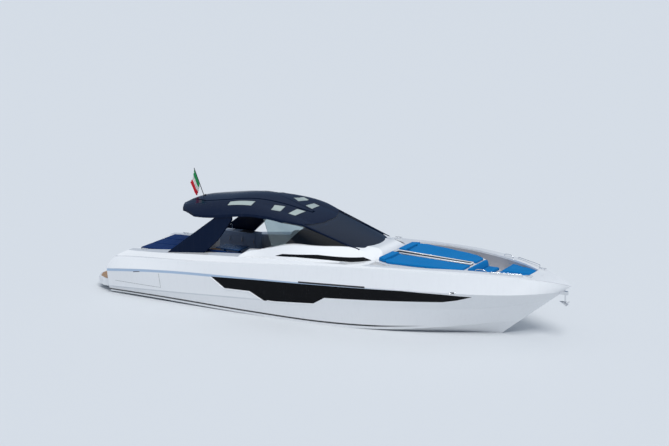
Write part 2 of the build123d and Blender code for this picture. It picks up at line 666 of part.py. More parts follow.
def sofa_cushions():
    """Seat cushions on the base, with backs along the outboard and the two end runs."""
    (x0, x1), (y0, y1), back = SOFA_X, SOFA_Y, SOFA_BACK_THICK
    z = COCKPIT_SOLE + TEAK + SOFA_BASE_H + SOFT_GAP
    seats = sofa(SOFA_CUSHION, z)
    top = z + SOFA_CUSHION + SOFA_BACK_H
    seats = seats + box(x0, x0 + back, y0, y1, z, top) + box(x1 - back, x1, y0, y1, z, top)
    return seats + box(x0, x1, y0, y0 + back, z, top)


def anchor():
    """Plough anchor hanging by its shank from the bow roller."""
    aft, fwd, half = ANCHOR_SHANK
    shank = box(aft, fwd, -half, half, ANCHOR_FOOT_Z, ROLLER_Z[0] - SOFT_GAP)
    plough = prism_xz(ANCHOR_PLOUGH, -half, half)
    fluke = extrude(polygon(ANCHOR_FLUKE), amount=ANCHOR_PLATE, dir=(0, 0, -1))
    return solid_of(shank + plough + fluke + port(fluke))


hull, deck, cowl, hull_pane, cowl_pane, hatch_lid = mouldings()
hull = hull + rudder_boss(1) + rudder_boss(-1) - shaft(1, RUN_GAP) - shaft(-1, RUN_GAP)
roof, roof_panel, skylights = hardtop_parts()
legs = {side: leg(side, hull, deck, roof) for side in (1, -1)}
pillars = {side: solid_of(pillar(side) - roof - cowl - deck) for side in (1, -1)}
screen = solid_of(windscreen() - roof - cowl - pillars[1] - pillars[-1])
pane = solid_of(side_glass() - roof - cowl - pillars[-1])

write("hull", hull)
write("deck_moulding", deck)
write("cowl", cowl)
write("hull_glass_starboard", hull_pane)
write("hull_glass_port", port(hull_pane))
write("cowl_glass_starboard", cowl_pane)
write("cowl_glass_port", port(cowl_pane))
write("foredeck_trunk", solid_of(foredeck_trunk() - cowl - deck - hull))
write("anchor_hatch", hatch_lid)
write("hardtop", roof)
write("hardtop_panel", roof_panel)
write("skylights", skylights)
write("hardtop_legs", Compound(children=[legs[1], legs[-1]]))
write("pillars", Compound(children=[pillars[1], pillars[-1]]))
write("windscreen", screen)
write("side_glass", Compound(children=[pane, port(pane)]))

# Stern: lid with its sunpad, platform
write("stern_lid", stern_lid())
write("aft_sunpad", on_slope(both_sides(AFT_PAD), LID_TOP, AFT_PAD_THICK))
platform = prism_xy(both_sides(PLATFORM), PLATFORM_Z - PLATFORM_THICK, PLATFORM_Z)
write("swim_platform", platform - hull)

# Running gear
for side, name in ((-1, "starboard"), (1, "port")):
    write(f"propeller_{name}", propeller(side))
    write(f"shaft_{name}", shaft(side))
    write(f"rudder_{name}", rudder() if side < 0 else port(rudder()))

write("shaft_brackets", Compound(children=[shaft_bracket(1, hull), shaft_bracket(-1, hull)]))

# Helm
console = prism_xz(CONSOLE, -CONSOLE_HALF, CONSOLE_HALF)
doorway = box(CONSOLE[2][0] - 50, CONSOLE[-1][0] + 100, DOOR_Y, DOOR_Y + DOOR_W, HELM_SOLE - 1, HELM_SOLE + DOOR_H)
write("helm_console", console - doorway - cowl - hull - deck)
write("steering_wheel", wheel())
write("companionway_door", door())

# Seats and furniture in the cockpit and at the helm
write("cockpit_sofa_base", sofa(SOFA_BASE_H, COCKPIT_SOLE + TEAK))
write("cockpit_sofa", sofa_cushions())
table = box(*TABLE_X, *TABLE_Y, TABLE_Z - TABLE_THICK, TABLE_Z)
for x in (TABLE_X[0] + TABLE_LEG_IN, TABLE_X[1] - TABLE_LEG_IN):
    table = table + Pos(x, sum(TABLE_Y) / 2, COCKPIT_SOLE + TEAK) * Cylinder(
        TABLE_LEG_D / 2, TABLE_Z - TABLE_THICK - COCKPIT_SOLE - TEAK, align=(Align.CENTER, Align.CENTER, Align.MIN))
write("cockpit_table", table)
write("wet_bar", box(*BAR_X, *BAR_Y, COCKPIT_SOLE + TEAK, BAR_Z))
bases, cushions = [], []
aft, fwd, inner = HELM_SEAT_BASE
z = HELM_SEAT_Z + SOFT_GAP
for y in HELM_SEAT_Y:
    half = HELM_SEAT_W / 2
    bases.append(box(HELM_SEAT_X + aft, HELM_SEAT_X + fwd, y - half + inner, y + half - inner, HELM_SOLE + TEAK,
                     HELM_SEAT_Z))
    cushions.append(prism_xz([(HELM_SEAT_X + along, z + rise) for along, rise in HELM_SEAT_SIDE], y - half, y + half))
write("helm_seat_bases", Compound(children=bases))
write("helm_seats", Compound(children=cushions))

# Teak
x0, x1 = COCKPIT_WELL[0][0] + TEAK_EDGE, COCKPIT_WELL[-1][0] - TEAK_EDGE
cockpit_teak = sole_on(COCKPIT_WELL, COCKPIT_SOLE) & box(x0, x1, -CUT_HALF, CUT_HALF, 0, CUT_TOP)
x0, x1 = HELM_WELL[0][0] + 2, DOOR_X - DOOR_THICK - RUN_GAP
helm_teak = sole_on(HELM_WELL, HELM_SOLE) & box(x0, x1, -CUT_HALF, CUT_HALF, 0, CUT_TOP)
bow_teak = box(BOW_WELL_AFT + TEAK_EDGE, BOW_WELL_FWD - TEAK_EDGE, -BOW_WELL_HALF + TEAK_EDGE,
               BOW_WELL_HALF - TEAK_EDGE, BOW_SOLE, BOW_SOLE + TEAK)
platform_teak = prism_xy(both_sides([(x + 2 * TEAK_EDGE, y - 2 * TEAK_EDGE) for x, y in PLATFORM[:-1]]
                                    + [(TRANSOM_X - 2 * TEAK_EDGE, PLATFORM[-1][1] - 2 * TEAK_EDGE)]),
                         PLATFORM_Z, PLATFORM_Z + TEAK)
write("teak_soles", Compound(children=[solid_of(s) for s in (cockpit_teak, helm_teak, bow_teak, platform_teak)]))

# Foredeck cushions and skylight
aft_x, fwd_x = FOREDECK_PAD[0][0], FOREDECK_PAD[-1][0]
outline = [(aft_x, FOREDECK_PAD_INNER_Y), (fwd_x, FOREDECK_PAD_INNER_Y)] + list(reversed(FOREDECK_PAD))
headrest = on_slope(outline, TRUNK_TOP, PAD_THICK + HEADREST_RISE) & box(aft_x, HEADREST_FWD, 0, CUT_HALF, 0, CUT_TOP)
half_pad = on_slope(outline, TRUNK_TOP, PAD_THICK) + headrest - cowl
write("foredeck_sunpad_port", half_pad)
write("foredeck_sunpad_starboard", port(half_pad))
write("foredeck_skylight", on_slope(both_sides(FOREDECK_LIGHT), TRUNK_TOP, FOREDECK_LIGHT_RISE, 0))
x, z = TRUNK[-1][0], BOW_SEAT_Z + SOFT_GAP
seat_top, seat_end = z + BOW_SEAT_CUSHION, BOW_SEAT_FWD - BOW_SEAT_CUSHION_IN[0]
half = BOW_SEAT_HALF - BOW_SEAT_CUSHION_IN[1]
back_aft, back_top, back_foot = BOW_SEAT_BACK
write("bow_sofa", prism_xz(((x + back_aft, z), (seat_end, z), (seat_end, seat_top), (x + back_foot, seat_top),
                            (x + back_top, BOW_SEAT_BACK_Z), (x + back_aft, BOW_SEAT_BACK_Z)), -half, half))
write("bow_pad", pad(both_sides(BOW_PAD), BOW_PAD_Z, PAD_THICK))

# Deck fittings
fittings = []
bar_d, bar_l = CLEAT_BAR
leg_d, leg_h, leg_x = CLEAT_LEG
for x, y in CLEATS:
    for side in (1, -1):
        z = top_of(deck, x, side * y)
        cleat = Pos(x, side * y, z + leg_h) * Rot(0, 90, 0) * Cylinder(bar_d / 2, bar_l)
        for dx in (-leg_x, leg_x):
            cleat = cleat + Pos(x + dx, side * y, z) * Cylinder(leg_d / 2, 2 * leg_h)
        fittings.append(solid_of(cleat - deck - hull))
write("cleats", Compound(children=fittings))
rails = []
for side in (1, -1):
    rail = tube([(x, side * y, z) for x, y, z in BOW_RAIL], BOW_RAIL_D, BOW_RAIL_BEND)
    rails.append(solid_of(rail - deck - hull))
write("bow_rails", Compound(children=rails))
write("anchor_roller", solid_of(box(*ROLLER_X, -ROLLER_HALF, ROLLER_HALF, *ROLLER_Z) - hull - deck))
write("anchor", anchor())
head = staff_plane()
staff_l = (Vector(*STAFF[0]) - Vector(*STAFF[1])).length
staff = head * Rot(0, 90, 0) * Cylinder(STAFF_D / 2, staff_l, align=(Align.CENTER, Align.CENTER, Align.MIN))
write("flag_staff", solid_of(staff - roof - roof_panel))
hoist = STAFF_D / 2 + SOFT_GAP
cloth = Polyline(*[(down, out + hoist) for down, out in FLAG], close=True)
write("flag", head * extrude(make_face(cloth), amount=FLAG_THICK / 2, both=True))
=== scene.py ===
# %% [markdown]
# # Dressing an open sports yacht
#
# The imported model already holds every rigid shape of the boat: hull, deck moulding, hardtop, glass and
# running gear. This lesson gives those shapes their real finishes, and adds what a solid model leaves
# plain: stuffed cushions with sewn seams, a flag that hangs in folds, rims, vents and small fittings.
# All lengths are metres, +X points to the bow, +Y to port, and z = 0 is the waterline.

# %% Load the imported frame
import json
import math

import bmesh
import bpy
from mathutils import Matrix, Vector, noise
from mathutils.bvhtree import BVHTree

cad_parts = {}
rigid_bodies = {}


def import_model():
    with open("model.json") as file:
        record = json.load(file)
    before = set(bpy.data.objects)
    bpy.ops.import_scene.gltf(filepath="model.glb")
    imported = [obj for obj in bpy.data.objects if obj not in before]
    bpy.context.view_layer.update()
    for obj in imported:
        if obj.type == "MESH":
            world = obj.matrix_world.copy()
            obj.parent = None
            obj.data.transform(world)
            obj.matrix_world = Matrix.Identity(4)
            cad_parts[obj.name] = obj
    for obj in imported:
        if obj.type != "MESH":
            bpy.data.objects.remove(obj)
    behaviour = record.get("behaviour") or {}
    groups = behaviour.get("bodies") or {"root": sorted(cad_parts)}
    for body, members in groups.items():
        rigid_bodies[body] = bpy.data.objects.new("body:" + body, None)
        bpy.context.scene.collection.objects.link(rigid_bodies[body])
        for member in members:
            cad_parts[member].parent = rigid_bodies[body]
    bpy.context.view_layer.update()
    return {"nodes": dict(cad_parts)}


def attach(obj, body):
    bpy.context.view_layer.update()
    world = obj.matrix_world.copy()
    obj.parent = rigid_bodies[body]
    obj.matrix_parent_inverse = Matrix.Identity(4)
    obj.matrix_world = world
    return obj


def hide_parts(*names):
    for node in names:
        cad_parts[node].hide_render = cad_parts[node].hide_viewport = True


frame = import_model()
nodes = frame["nodes"]

# %% [markdown]
# ## The camera
#
# The photograph looks down on the starboard bow from far off, through a long lens, so the boat's lines
# stay almost parallel. A camera is three directions and a place. Here they come from the angle round
# the boat, the height above the horizon, and a slight roll of the horizon. The focal length was found
# in pixels of the photograph's frame, and a 36 mm wide sensor turns it into millimetres.

# %% Camera at the photograph's viewing angle
FRAME_WIDE_PX = 669
FOCAL_PX = 1901.0
AZIMUTH, ELEVATION, ROLL = (math.radians(a) for a in (30.15, 13.51, -0.89))
DISTANCE = 74.9
TARGET = Vector((0.24, 0.0, 3.51))

back = Vector((math.sin(AZIMUTH) * math.cos(ELEVATION), -math.cos(AZIMUTH) * math.cos(ELEVATION),
               math.sin(ELEVATION)))
level_right = Vector((math.cos(AZIMUTH), math.sin(AZIMUTH), 0.0))
level_up = back.cross(level_right)
right = level_right * math.cos(ROLL) + level_up * math.sin(ROLL)
up = level_up * math.cos(ROLL) - level_right * math.sin(ROLL)
camera_data = bpy.data.cameras.new("yacht_camera")
camera_data.sensor_width = 36.0
camera_data.lens = FOCAL_PX * camera_data.sensor_width / FRAME_WIDE_PX
camera_data.clip_start, camera_data.clip_end = 1.0, 900.0
camera = bpy.data.objects.new("yacht_camera", camera_data)
bpy.context.scene.collection.objects.link(camera)
turn = Matrix((right, up, back)).transposed()
camera.matrix_world = Matrix.Translation(TARGET + back * DISTANCE) @ turn.to_4x4()
bpy.context.scene.camera = camera
print("lens", round(camera_data.lens, 1), "mm at", [round(v, 1) for v in camera.location])

# %% [markdown]
# ## Node helpers
#
# A material is a small network. These helpers keep the networks short to write: one makes a node and
# sets its plain values, one makes a node group with named sockets, and one starts a material round a
# Principled BSDF. Groups put out colours, masks and normals, and the shader stays in the material. The
# last helper links what a group puts out to that shader.

# %% Helpers that build shader networks


def add(tree, kind, **values):
    """New node; a value named after an input is set there, any other is set as a property."""
    node = tree.nodes.new(kind)
    for key, value in values.items():
        if hasattr(node, key):
            setattr(node, key, value)
        else:
            node.inputs[key.replace("_", " ")].default_value = value
    return node


def link(tree, *pairs):
    for source, target in pairs:
        tree.links.new(source, target)


def maths(tree, operation, a, b=0.0, c=0.0, clamp=False):
    """Math node whose inputs are numbers or sockets."""
    node = tree.nodes.new("ShaderNodeMath")
    node.operation, node.use_clamp = operation, clamp
    for socket, value in zip(node.inputs, (a, b, c)):
        if isinstance(value, (int, float)):
            socket.default_value = value
        else:
            tree.links.new(value, socket)
    return node.outputs[0]


def mixed(tree, factor, first, second, blend="MIX"):
    """Colour mix whose inputs are colours, numbers or sockets."""
    node = tree.nodes.new("ShaderNodeMix")
    node.data_type, node.blend_type = "RGBA", blend
    for socket, value in ((node.inputs[0], factor), (node.inputs[6], first), (node.inputs[7], second)):
        if isinstance(value, bpy.types.NodeSocket):
            tree.links.new(value, socket)
        elif isinstance(value, (int, float)):
            socket.default_value = value
        else:
            socket.default_value = (*value[:3], 1.0)
    return node.outputs[2]


def node_group(name, inputs, outputs):
    """Empty node group with its sockets, and its input and output nodes."""
    tree = bpy.data.node_groups.new(name, "ShaderNodeTree")
    kinds = {"color": "NodeSocketColor", "value": "NodeSocketFloat", "vector": "NodeSocketVector"}
    for socket_name, kind, default in inputs:
        socket = tree.interface.new_socket(socket_name, in_out="INPUT", socket_type=kinds[kind])
        socket.default_value = default
    for socket_name, kind in outputs:
        tree.interface.new_socket(socket_name, in_out="OUTPUT", socket_type=kinds[kind])
    return tree, tree.nodes.new("NodeGroupInput"), tree.nodes.new("NodeGroupOutput")


def material(name, **plain):
    """Material with a Principled BSDF; plain values are set on the shader's own sockets."""
    made = bpy.data.materials.new(name)
    made.use_nodes = True
    shader = made.node_tree.nodes["Principled BSDF"]
    for key, value in plain.items():
        shader.inputs[key.replace("_", " ")].default_value = value
    return made, made.node_tree, shader


def place(tree, group, **values):
    """Group node inside a material, with its own input values."""
    node = tree.nodes.new("ShaderNodeGroup")
    node.node_tree = group
    for key, value in values.items():
        socket = node.inputs[key.replace("_", " ")]
        socket.default_value = (*value, 1.0) if isinstance(value, tuple) else value
    return node


def object_axes(tree):
    """Texture coordinates, and those of the object taken apart into x, y and z."""
    spot = add(tree, "ShaderNodeTexCoord")
    axes = add(tree, "ShaderNodeSeparateXYZ")
    link(tree, (spot.outputs["Object"], axes.inputs[0]))
    return spot, axes


SURFACE = (("Colour", "color"), ("Roughness", "value"), ("Normal", "vector"))


def dress(tree, shader, effect, colour=None):
    """Link what a group puts out to the shader; a colour worked out from it may take the group's place."""
    link(tree, (effect.outputs["Colour"] if colour is None else colour, shader.inputs["Base Color"]),
         (effect.outputs["Roughness"], shader.inputs["Roughness"]),
         (effect.outputs["Normal"], shader.inputs["Normal"]))


# %% [markdown]
# ## Moulded gelcoat
#
# The white shell is glass fibre with a gelcoat skin: glossy, almost flat, but never quite. The mould
# leaves a slow waviness that only shows in reflections, and rain leaves faint grey runs. One group
# makes both, so hull, deck and cowl share it with their own amounts.

# %% Shared effect: moulded skin
RAIN_GREY = (0.30, 0.31, 0.31)

moulded_skin, skin_in, skin_out = node_group(
    "moulded_skin",
    [("Colour", "color", (0.8, 0.8, 0.8, 1)), ("Streaks", "value", 0.1), ("Waviness", "value", 0.02),
     ("Base Roughness", "value", 0.12)], SURFACE)
tree = moulded_skin
spot = add(tree, "ShaderNodeTexCoord")
stretched = add(tree, "ShaderNodeMapping", Scale=(9.0, 9.0, 0.35))
runs = add(tree, "ShaderNodeTexNoise", Scale=1.0, Detail=5.0, Roughness=0.6)
slow = add(tree, "ShaderNodeTexNoise", Scale=0.8, Detail=2.0)
bump = add(tree, "ShaderNodeBump", Distance=0.05)
link(tree, (spot.outputs["Object"], stretched.inputs["Vector"]),
     (stretched.outputs[0], runs.inputs["Vector"]), (spot.outputs["Object"], slow.inputs["Vector"]),
     (slow.outputs["Fac"], bump.inputs["Height"]),
     (skin_in.outputs["Waviness"], bump.inputs["Strength"]))
run_mask = maths(tree, "MULTIPLY_ADD", runs.outputs["Fac"], 3.0, -1.5, clamp=True)
run_mask = maths(tree, "MULTIPLY", run_mask, skin_in.outputs["Streaks"])
dirty = mixed(tree, run_mask, skin_in.outputs["Colour"], RAIN_GREY)
rough = maths(tree, "MULTIPLY_ADD", run_mask, 0.5, skin_in.outputs["Base Roughness"])
link(tree, (dirty, skin_out.inputs["Colour"]), (rough, skin_out.inputs["Roughness"]),
     (bump.outputs[0], skin_out.inputs["Normal"]))
print("group", moulded_skin.name, "has", len(tree.nodes), "nodes")

# %% [markdown]
# The hull also carries colour that follows its own lines: a painted reflection of the sea as a blue-grey band
# under the knuckle, the painted shade of a crease low on the quarter, a painted shadow as a black line over
# the white spray rail, and dark antifouling below the water. Each line climbs towards the bow, so a plain
# height is not enough. A Float Curve turns the place along the boat into the height of the line there, and
# the difference to the real height makes a mask.

# %% Shared effect: distance above a line that runs along the hull
LINE_FROM_X, LINE_TO_X, LINE_TOP_Z = -10.4, 10.4, 3.0


def hull_line(name, points):
    """Group that gives the height above a line, from points of x and z along the boat."""
    tree, _, line_out = node_group(name, [], [("Above", "value")])
    _, axes = object_axes(tree)
    along = add(tree, "ShaderNodeMapRange", From_Min=LINE_FROM_X, From_Max=LINE_TO_X)
    curve = add(tree, "ShaderNodeFloatCurve")
    handles = curve.mapping.curves[0].points
    for x, z in points:
        handles.new((x - LINE_FROM_X) / (LINE_TO_X - LINE_FROM_X), z / LINE_TOP_Z)
    handles.remove(handles[0])
    handles.remove(handles[-1])
    curve.mapping.update()
    link(tree, (axes.outputs["X"], along.inputs["Value"]), (along.outputs["Result"], curve.inputs["Value"]))
    line_z = maths(tree, "MULTIPLY", curve.outputs[0], LINE_TOP_Z)
    link(tree, (maths(tree, "SUBTRACT", axes.outputs["Z"], line_z), line_out.inputs["Above"]))
    return tree


knuckle_line = hull_line("knuckle_line", [(-9.3, 1.08), (-6.5, 1.39), (-2.5, 1.60), (1.68, 1.78),
                                          (5.04, 1.87), (7.79, 1.87), (10.01, 1.94)])
chine_line = hull_line("chine_line", [(-9.3, 0.06), (-6.5, 0.09), (-2.5, 0.04), (1.5, 0.02), (4.27, 0.15),
                                      (6.57, 0.43), (8.26, 0.58)])
crease_line = hull_line("crease_line", [(-9.3, 0.33), (-8.87, 0.36), (-5.9, 0.53), (-2.93, 0.70),
                                        (0.5, 0.86)])
print("lines on the hull", [line.name for line in (knuckle_line, chine_line, crease_line)])


def between(tree, value, low, high, soft=0.006):
    """Mask that is 1 where value lies between low and high, with soft edges."""
    rise, fall = (add(tree, "ShaderNodeMapRange", From_Min=edge - soft, From_Max=edge + soft)
                  for edge in (low, high))
    link(tree, (value, rise.inputs["Value"]), (value, fall.inputs["Value"]))
    return maths(tree, "SUBTRACT", rise.outputs["Result"], fall.outputs["Result"], clamp=True)


def painted_line(tree, along, line, span, fades_x, soft=0.006):
    """Mask of colour in a span of heights over a line, fading out between two places along the boat."""
    above = place(tree, line).outputs["Above"]
    fade = add(tree, "ShaderNodeMapRange", From_Min=fades_x[1], From_Max=fades_x[0])
    link(tree, (along, fade.inputs["Value"]))
    return maths(tree, "MULTIPLY", between(tree, above, *span, soft), fade.outputs["Result"])


# %% [markdown]
# ## White mouldings
#
# Deck and cowl take the shared skin as it is. The hull mixes its painted lines into the colour first, a
# painted reflection and painted shade and shadow among them, and greys its inward-facing walls forward of the
# cockpit as painted shade.

# %% Gelcoat materials
WHITE = (0.80, 0.81, 0.82)
# The blue band is a painted reflection, the crease grey a painted shade, the chine's black line a painted
# shadow and the inner grey a painted shade; the antifouling is real paint.
SEA_REFLECTION_BLUE, BAND_SPAN, BAND_FADES_X = (0.38, 0.50, 0.66), (-0.12, -0.012), (1.0, 5.5)
CREASE_SHADE_GREY, CREASE_SPAN, CREASE_FADES_X = (0.34, 0.38, 0.43), (-0.050, 0.0), (-3.0, -0.5)
CREASE_STRENGTH = 0.45
CHINE_SHADOW_BLACK, CHINE_SPAN, CHINE_FADES_X = (0.012, 0.013, 0.016), (0.075, 0.145), (3.0, 5.0)
ANTIFOULING, UNDER_WATER = (0.02, 0.025, 0.035), (-5.0, 0.0)
INNER_SHADE_GREY, FOREDECK_FROM_X, INWARD_FROM = (0.40, 0.40, 0.43), 3.0, -0.25

gelcoat, tree, shader = material("gelcoat_white", Coat_Weight=0.6, Coat_Roughness=0.04)
dress(tree, shader, place(tree, moulded_skin, Colour=WHITE, Streaks=0.04, Waviness=0.04))

hull_paint, tree, shader = material("hull_paint", Coat_Weight=0.6, Coat_Roughness=0.04)
skin = place(tree, moulded_skin, Colour=WHITE, Streaks=0.06, Waviness=0.05)
spot, axes = object_axes(tree)
along = axes.outputs["X"]
# Painted reflection: the blue-grey band under the knuckle stands for the sea reflected in the undercut.
painted_sea_reflection = painted_line(tree, along, knuckle_line, BAND_SPAN, BAND_FADES_X, soft=0.012)
colour = mixed(tree, painted_sea_reflection, skin.outputs["Colour"], SEA_REFLECTION_BLUE)
# Painted shade: grey along the crease low on the quarter, where the step of the moulding would cast shade.
painted_crease_shade = painted_line(tree, along, crease_line, CREASE_SPAN, CREASE_FADES_X, soft=0.016)
colour = mixed(tree, maths(tree, "MULTIPLY", painted_crease_shade, CREASE_STRENGTH), colour, CREASE_SHADE_GREY)
# Painted shadow: a black line over the spray rail stands for the shadow under the chine's step.
painted_chine_shadow = painted_line(tree, along, chine_line, CHINE_SPAN, CHINE_FADES_X)
colour = mixed(tree, painted_chine_shadow, colour, CHINE_SHADOW_BLACK)
colour = mixed(tree, between(tree, axes.outputs["Z"], *UNDER_WATER), colour, ANTIFOULING)
# Painted shade: walls that face inboard, forward of x = 3 m, are greyed as if in shade.
facing = add(tree, "ShaderNodeSeparateXYZ")
link(tree, (spot.outputs["Normal"], facing.inputs[0]))
outward = maths(tree, "MULTIPLY", facing.outputs["Y"], axes.outputs["Y"])
painted_inner_shade = maths(tree, "MULTIPLY", maths(tree, "LESS_THAN", outward, INWARD_FROM),
              maths(tree, "GREATER_THAN", along, FOREDECK_FROM_X))
dress(tree, shader, skin, mixed(tree, painted_inner_shade, colour, INNER_SHADE_GREY))
print("mouldings", gelcoat.name, hull_paint.name)

# %% [markdown]
# ## Dark paint and glass
#
# The hardtop is metallic navy paint under clear coat. At a flat angle any gloss turns into a mirror,
# so its reflections stay tight and the colour under them stays deep. The hull windows are bonded black
# glass with a solid hull behind it, so an opaque gloss is the honest choice. The windscreen and the side
# panes are real tinted glass: transmission does the work, and their walls are as thick as the solids.

# %% Paint and glass materials
NAVY, FLAKE_BLUE, GLASS_BLACK = (0.002, 0.008, 0.028), (0.05, 0.09, 0.22), (0.002, 0.0025, 0.004)

navy_paint, tree, shader = material("navy_paint", Specular_IOR_Level=0.06, Coat_Weight=0.04,
                                    Coat_Roughness=0.04)
skin = place(tree, moulded_skin, Colour=NAVY, Streaks=0.02, Waviness=0.03, Base_Roughness=0.22)
flakes = add(tree, "ShaderNodeTexVoronoi", Scale=900.0)
spot = add(tree, "ShaderNodeTexCoord")
link(tree, (spot.outputs["Object"], flakes.inputs["Vector"]))
sparkle = maths(tree, "MULTIPLY", maths(tree, "GREATER_THAN", flakes.outputs["Color"], 0.93), 0.10)
dress(tree, shader, skin, mixed(tree, sparkle, skin.outputs["Colour"], FLAKE_BLUE))

black_glass, tree, shader = material("bonded_black_glass", IOR=1.45, Specular_IOR_Level=0.12)
dress(tree, shader, place(tree, moulded_skin, Colour=GLASS_BLACK, Streaks=0.006, Waviness=0.02,
                          Base_Roughness=0.05))

TINT_FROM_X, TINT_FROM_Z, TINT_LEAN = -0.294, 3.559, 1.03
DRIED_SALT = (0.55, 0.60, 0.62)


def tinted_glass(name, tint, transmission, forward_tint=None, ior=1.45):
    """Tinted glass with faint dried drops; the part forward of a leaning line may have a tint of its own."""
    made, tree, shader = material(name, IOR=ior, Transmission_Weight=transmission)
    spot = add(tree, "ShaderNodeTexCoord")
    if forward_tint:
        axes = add(tree, "ShaderNodeSeparateXYZ")
        link(tree, (spot.outputs["Object"], axes.inputs[0]))
        lean = maths(tree, "MULTIPLY_ADD", axes.outputs["Z"], -TINT_LEAN,
                     TINT_LEAN * TINT_FROM_Z - TINT_FROM_X)
        ahead = maths(tree, "ADD", axes.outputs["X"], lean)
        tint = mixed(tree, between(tree, ahead, 0.0, 9.0, 0.01), tint, forward_tint)
    drops = add(tree, "ShaderNodeTexNoise", Scale=30.0, Detail=3.0)
    link(tree, (spot.outputs["Object"], drops.inputs["Vector"]))
    film = maths(tree, "MULTIPLY_ADD", drops.outputs["Fac"], 0.5, -0.27, clamp=True)
    link(tree, (maths(tree, "MULTIPLY_ADD", film, 0.4, 0.02), shader.inputs["Roughness"]),
         (mixed(tree, maths(tree, "MULTIPLY", film, 0.04), tint, DRIED_SALT), shader.inputs["Base Color"]))
    return made


windscreen_glass = tinted_glass("windscreen_glass", (0.006, 0.018, 0.050), 0.55, ior=1.28)
side_glass = tinted_glass("side_glass", (0.42, 0.52, 0.55), 0.92, forward_tint=(0.003, 0.008, 0.020))
roof_glass = tinted_glass("roof_glass", (0.50, 0.58, 0.55), 0.25)
dark_finishes = (navy_paint, black_glass, windscreen_glass, side_glass, roof_glass)
print("paint and glass", [made.name for made in dark_finishes])

# %% [markdown]
# ## Teak
#
# The soles and the bathing platform are laid in teak: narrow planks that run fore and aft with black
# caulk between them, bleached by salt. Planks come from the place across the boat, folded into equal
# strips. Each strip takes its own shade, and noise stretched along the plank draws the grain.

# %% Shared effect: laid planks
TEAK, BLEACHED_TEAK, GRAIN_BROWN = (0.36, 0.21, 0.11), (0.50, 0.38, 0.27), (0.20, 0.12, 0.07)
CAULK_BLACK = (0.012, 0.012, 0.013)

laid_planks, plank_in, plank_out = node_group(
    "laid_planks",
    [("Plank", "value", 0.055), ("Caulk", "value", 0.005), ("Wood", "color", (0.4, 0.27, 0.16, 1))], SURFACE)
tree = laid_planks
spot, axes = object_axes(tree)
strip = maths(tree, "DIVIDE", axes.outputs["Y"], plank_in.outputs["Plank"])
across = maths(tree, "MULTIPLY", maths(tree, "FRACT", strip), plank_in.outputs["Plank"])
seam = maths(tree, "LESS_THAN", across, plank_in.outputs["Caulk"])
shade = add(tree, "ShaderNodeTexWhiteNoise", noise_dimensions="1D")
link(tree, (maths(tree, "FLOOR", strip), shade.inputs["W"]))
stretched = add(tree, "ShaderNodeMapping", Scale=(1.6, 60.0, 20.0))
grain = add(tree, "ShaderNodeTexNoise", Scale=1.0, Detail=6.0, Roughness=0.62)
link(tree, (spot.outputs["Object"], stretched.inputs["Vector"]),
     (stretched.outputs[0], grain.inputs["Vector"]))
bleached = maths(tree, "MULTIPLY", shade.outputs["Value"], 0.45)
veins = maths(tree, "MULTIPLY_ADD", grain.outputs["Fac"], 1.6, -0.55, clamp=True)
wood = mixed(tree, bleached, plank_in.outputs["Wood"], BLEACHED_TEAK)
wood = mixed(tree, seam, mixed(tree, veins, wood, GRAIN_BROWN), CAULK_BLACK)
plank_bump = add(tree, "ShaderNodeBump", Strength=0.5, Distance=0.002)
height = maths(tree, "SUBTRACT", maths(tree, "MULTIPLY", grain.outputs["Fac"], 0.3), seam)
link(tree, (height, plank_bump.inputs["Height"]), (wood, plank_out.inputs["Colour"]),
     (maths(tree, "MULTIPLY_ADD", seam, -0.25, 0.72), plank_out.inputs["Roughness"]),
     (plank_bump.outputs[0], plank_out.inputs["Normal"]))

teak, tree, shader = material("laid_teak")
dress(tree, shader, place(tree, laid_planks, Wood=TEAK))
print("group", laid_planks.name, "in", teak.name)

# %% [markdown]
# ## Cloth
#
# Cushions wear a woven outdoor fabric. Two crossed waves make the threads, a fine noise keeps them from
# looking printed, and a slow noise fades the dye where sun and salt have worked longest. Sheen gives
# the soft edge light of real cloth.

# %% Shared effect: weave
SUN_FADED, THREAD_SHADE = (0.42, 0.52, 0.62), (0.0, 0.01, 0.03)

weave, weave_in, weave_out = node_group(
    "weave", [("Dye", "color", (0.1, 0.2, 0.5, 1)), ("Thread", "value", 0.004), ("Fading", "value", 0.2)],
    SURFACE)
tree = weave
spot, axes = object_axes(tree)
per_thread = maths(tree, "DIVIDE", 2 * math.pi, weave_in.outputs["Thread"])
warp, weft, rise = (maths(tree, "SINE", maths(tree, "MULTIPLY", axes.outputs[axis], per_thread))
                    for axis in "XYZ")
threads = maths(tree, "ADD", maths(tree, "MULTIPLY", warp, weft), maths(tree, "MULTIPLY", rise, 0.5))
lint = add(tree, "ShaderNodeTexNoise", Scale=140.0, Detail=3.0)
sunned = add(tree, "ShaderNodeTexNoise", Scale=1.3, Detail=4.0)
link(tree, (spot.outputs["Object"], lint.inputs["Vector"]), (spot.outputs["Object"], sunned.inputs["Vector"]))
faded = maths(tree, "MULTIPLY_ADD", sunned.outputs["Fac"], 2.0, -0.7, clamp=True)
faded = maths(tree, "MULTIPLY", faded, weave_in.outputs["Fading"])
dye = mixed(tree, faded, weave_in.outputs["Dye"], SUN_FADED)
dye = mixed(tree, maths(tree, "MULTIPLY_ADD", threads, 0.10, 0.10), dye, THREAD_SHADE)
cloth_bump = add(tree, "ShaderNodeBump", Strength=0.35, Distance=0.001)
link(tree, (maths(tree, "ADD", threads, lint.outputs["Fac"]), cloth_bump.inputs["Height"]),
     (dye, weave_out.inputs["Colour"]),
     (maths(tree, "MULTIPLY_ADD", lint.outputs["Fac"], 0.2, 0.7), weave_out.inputs["Roughness"]),
     (cloth_bump.outputs[0], weave_out.inputs["Normal"]))


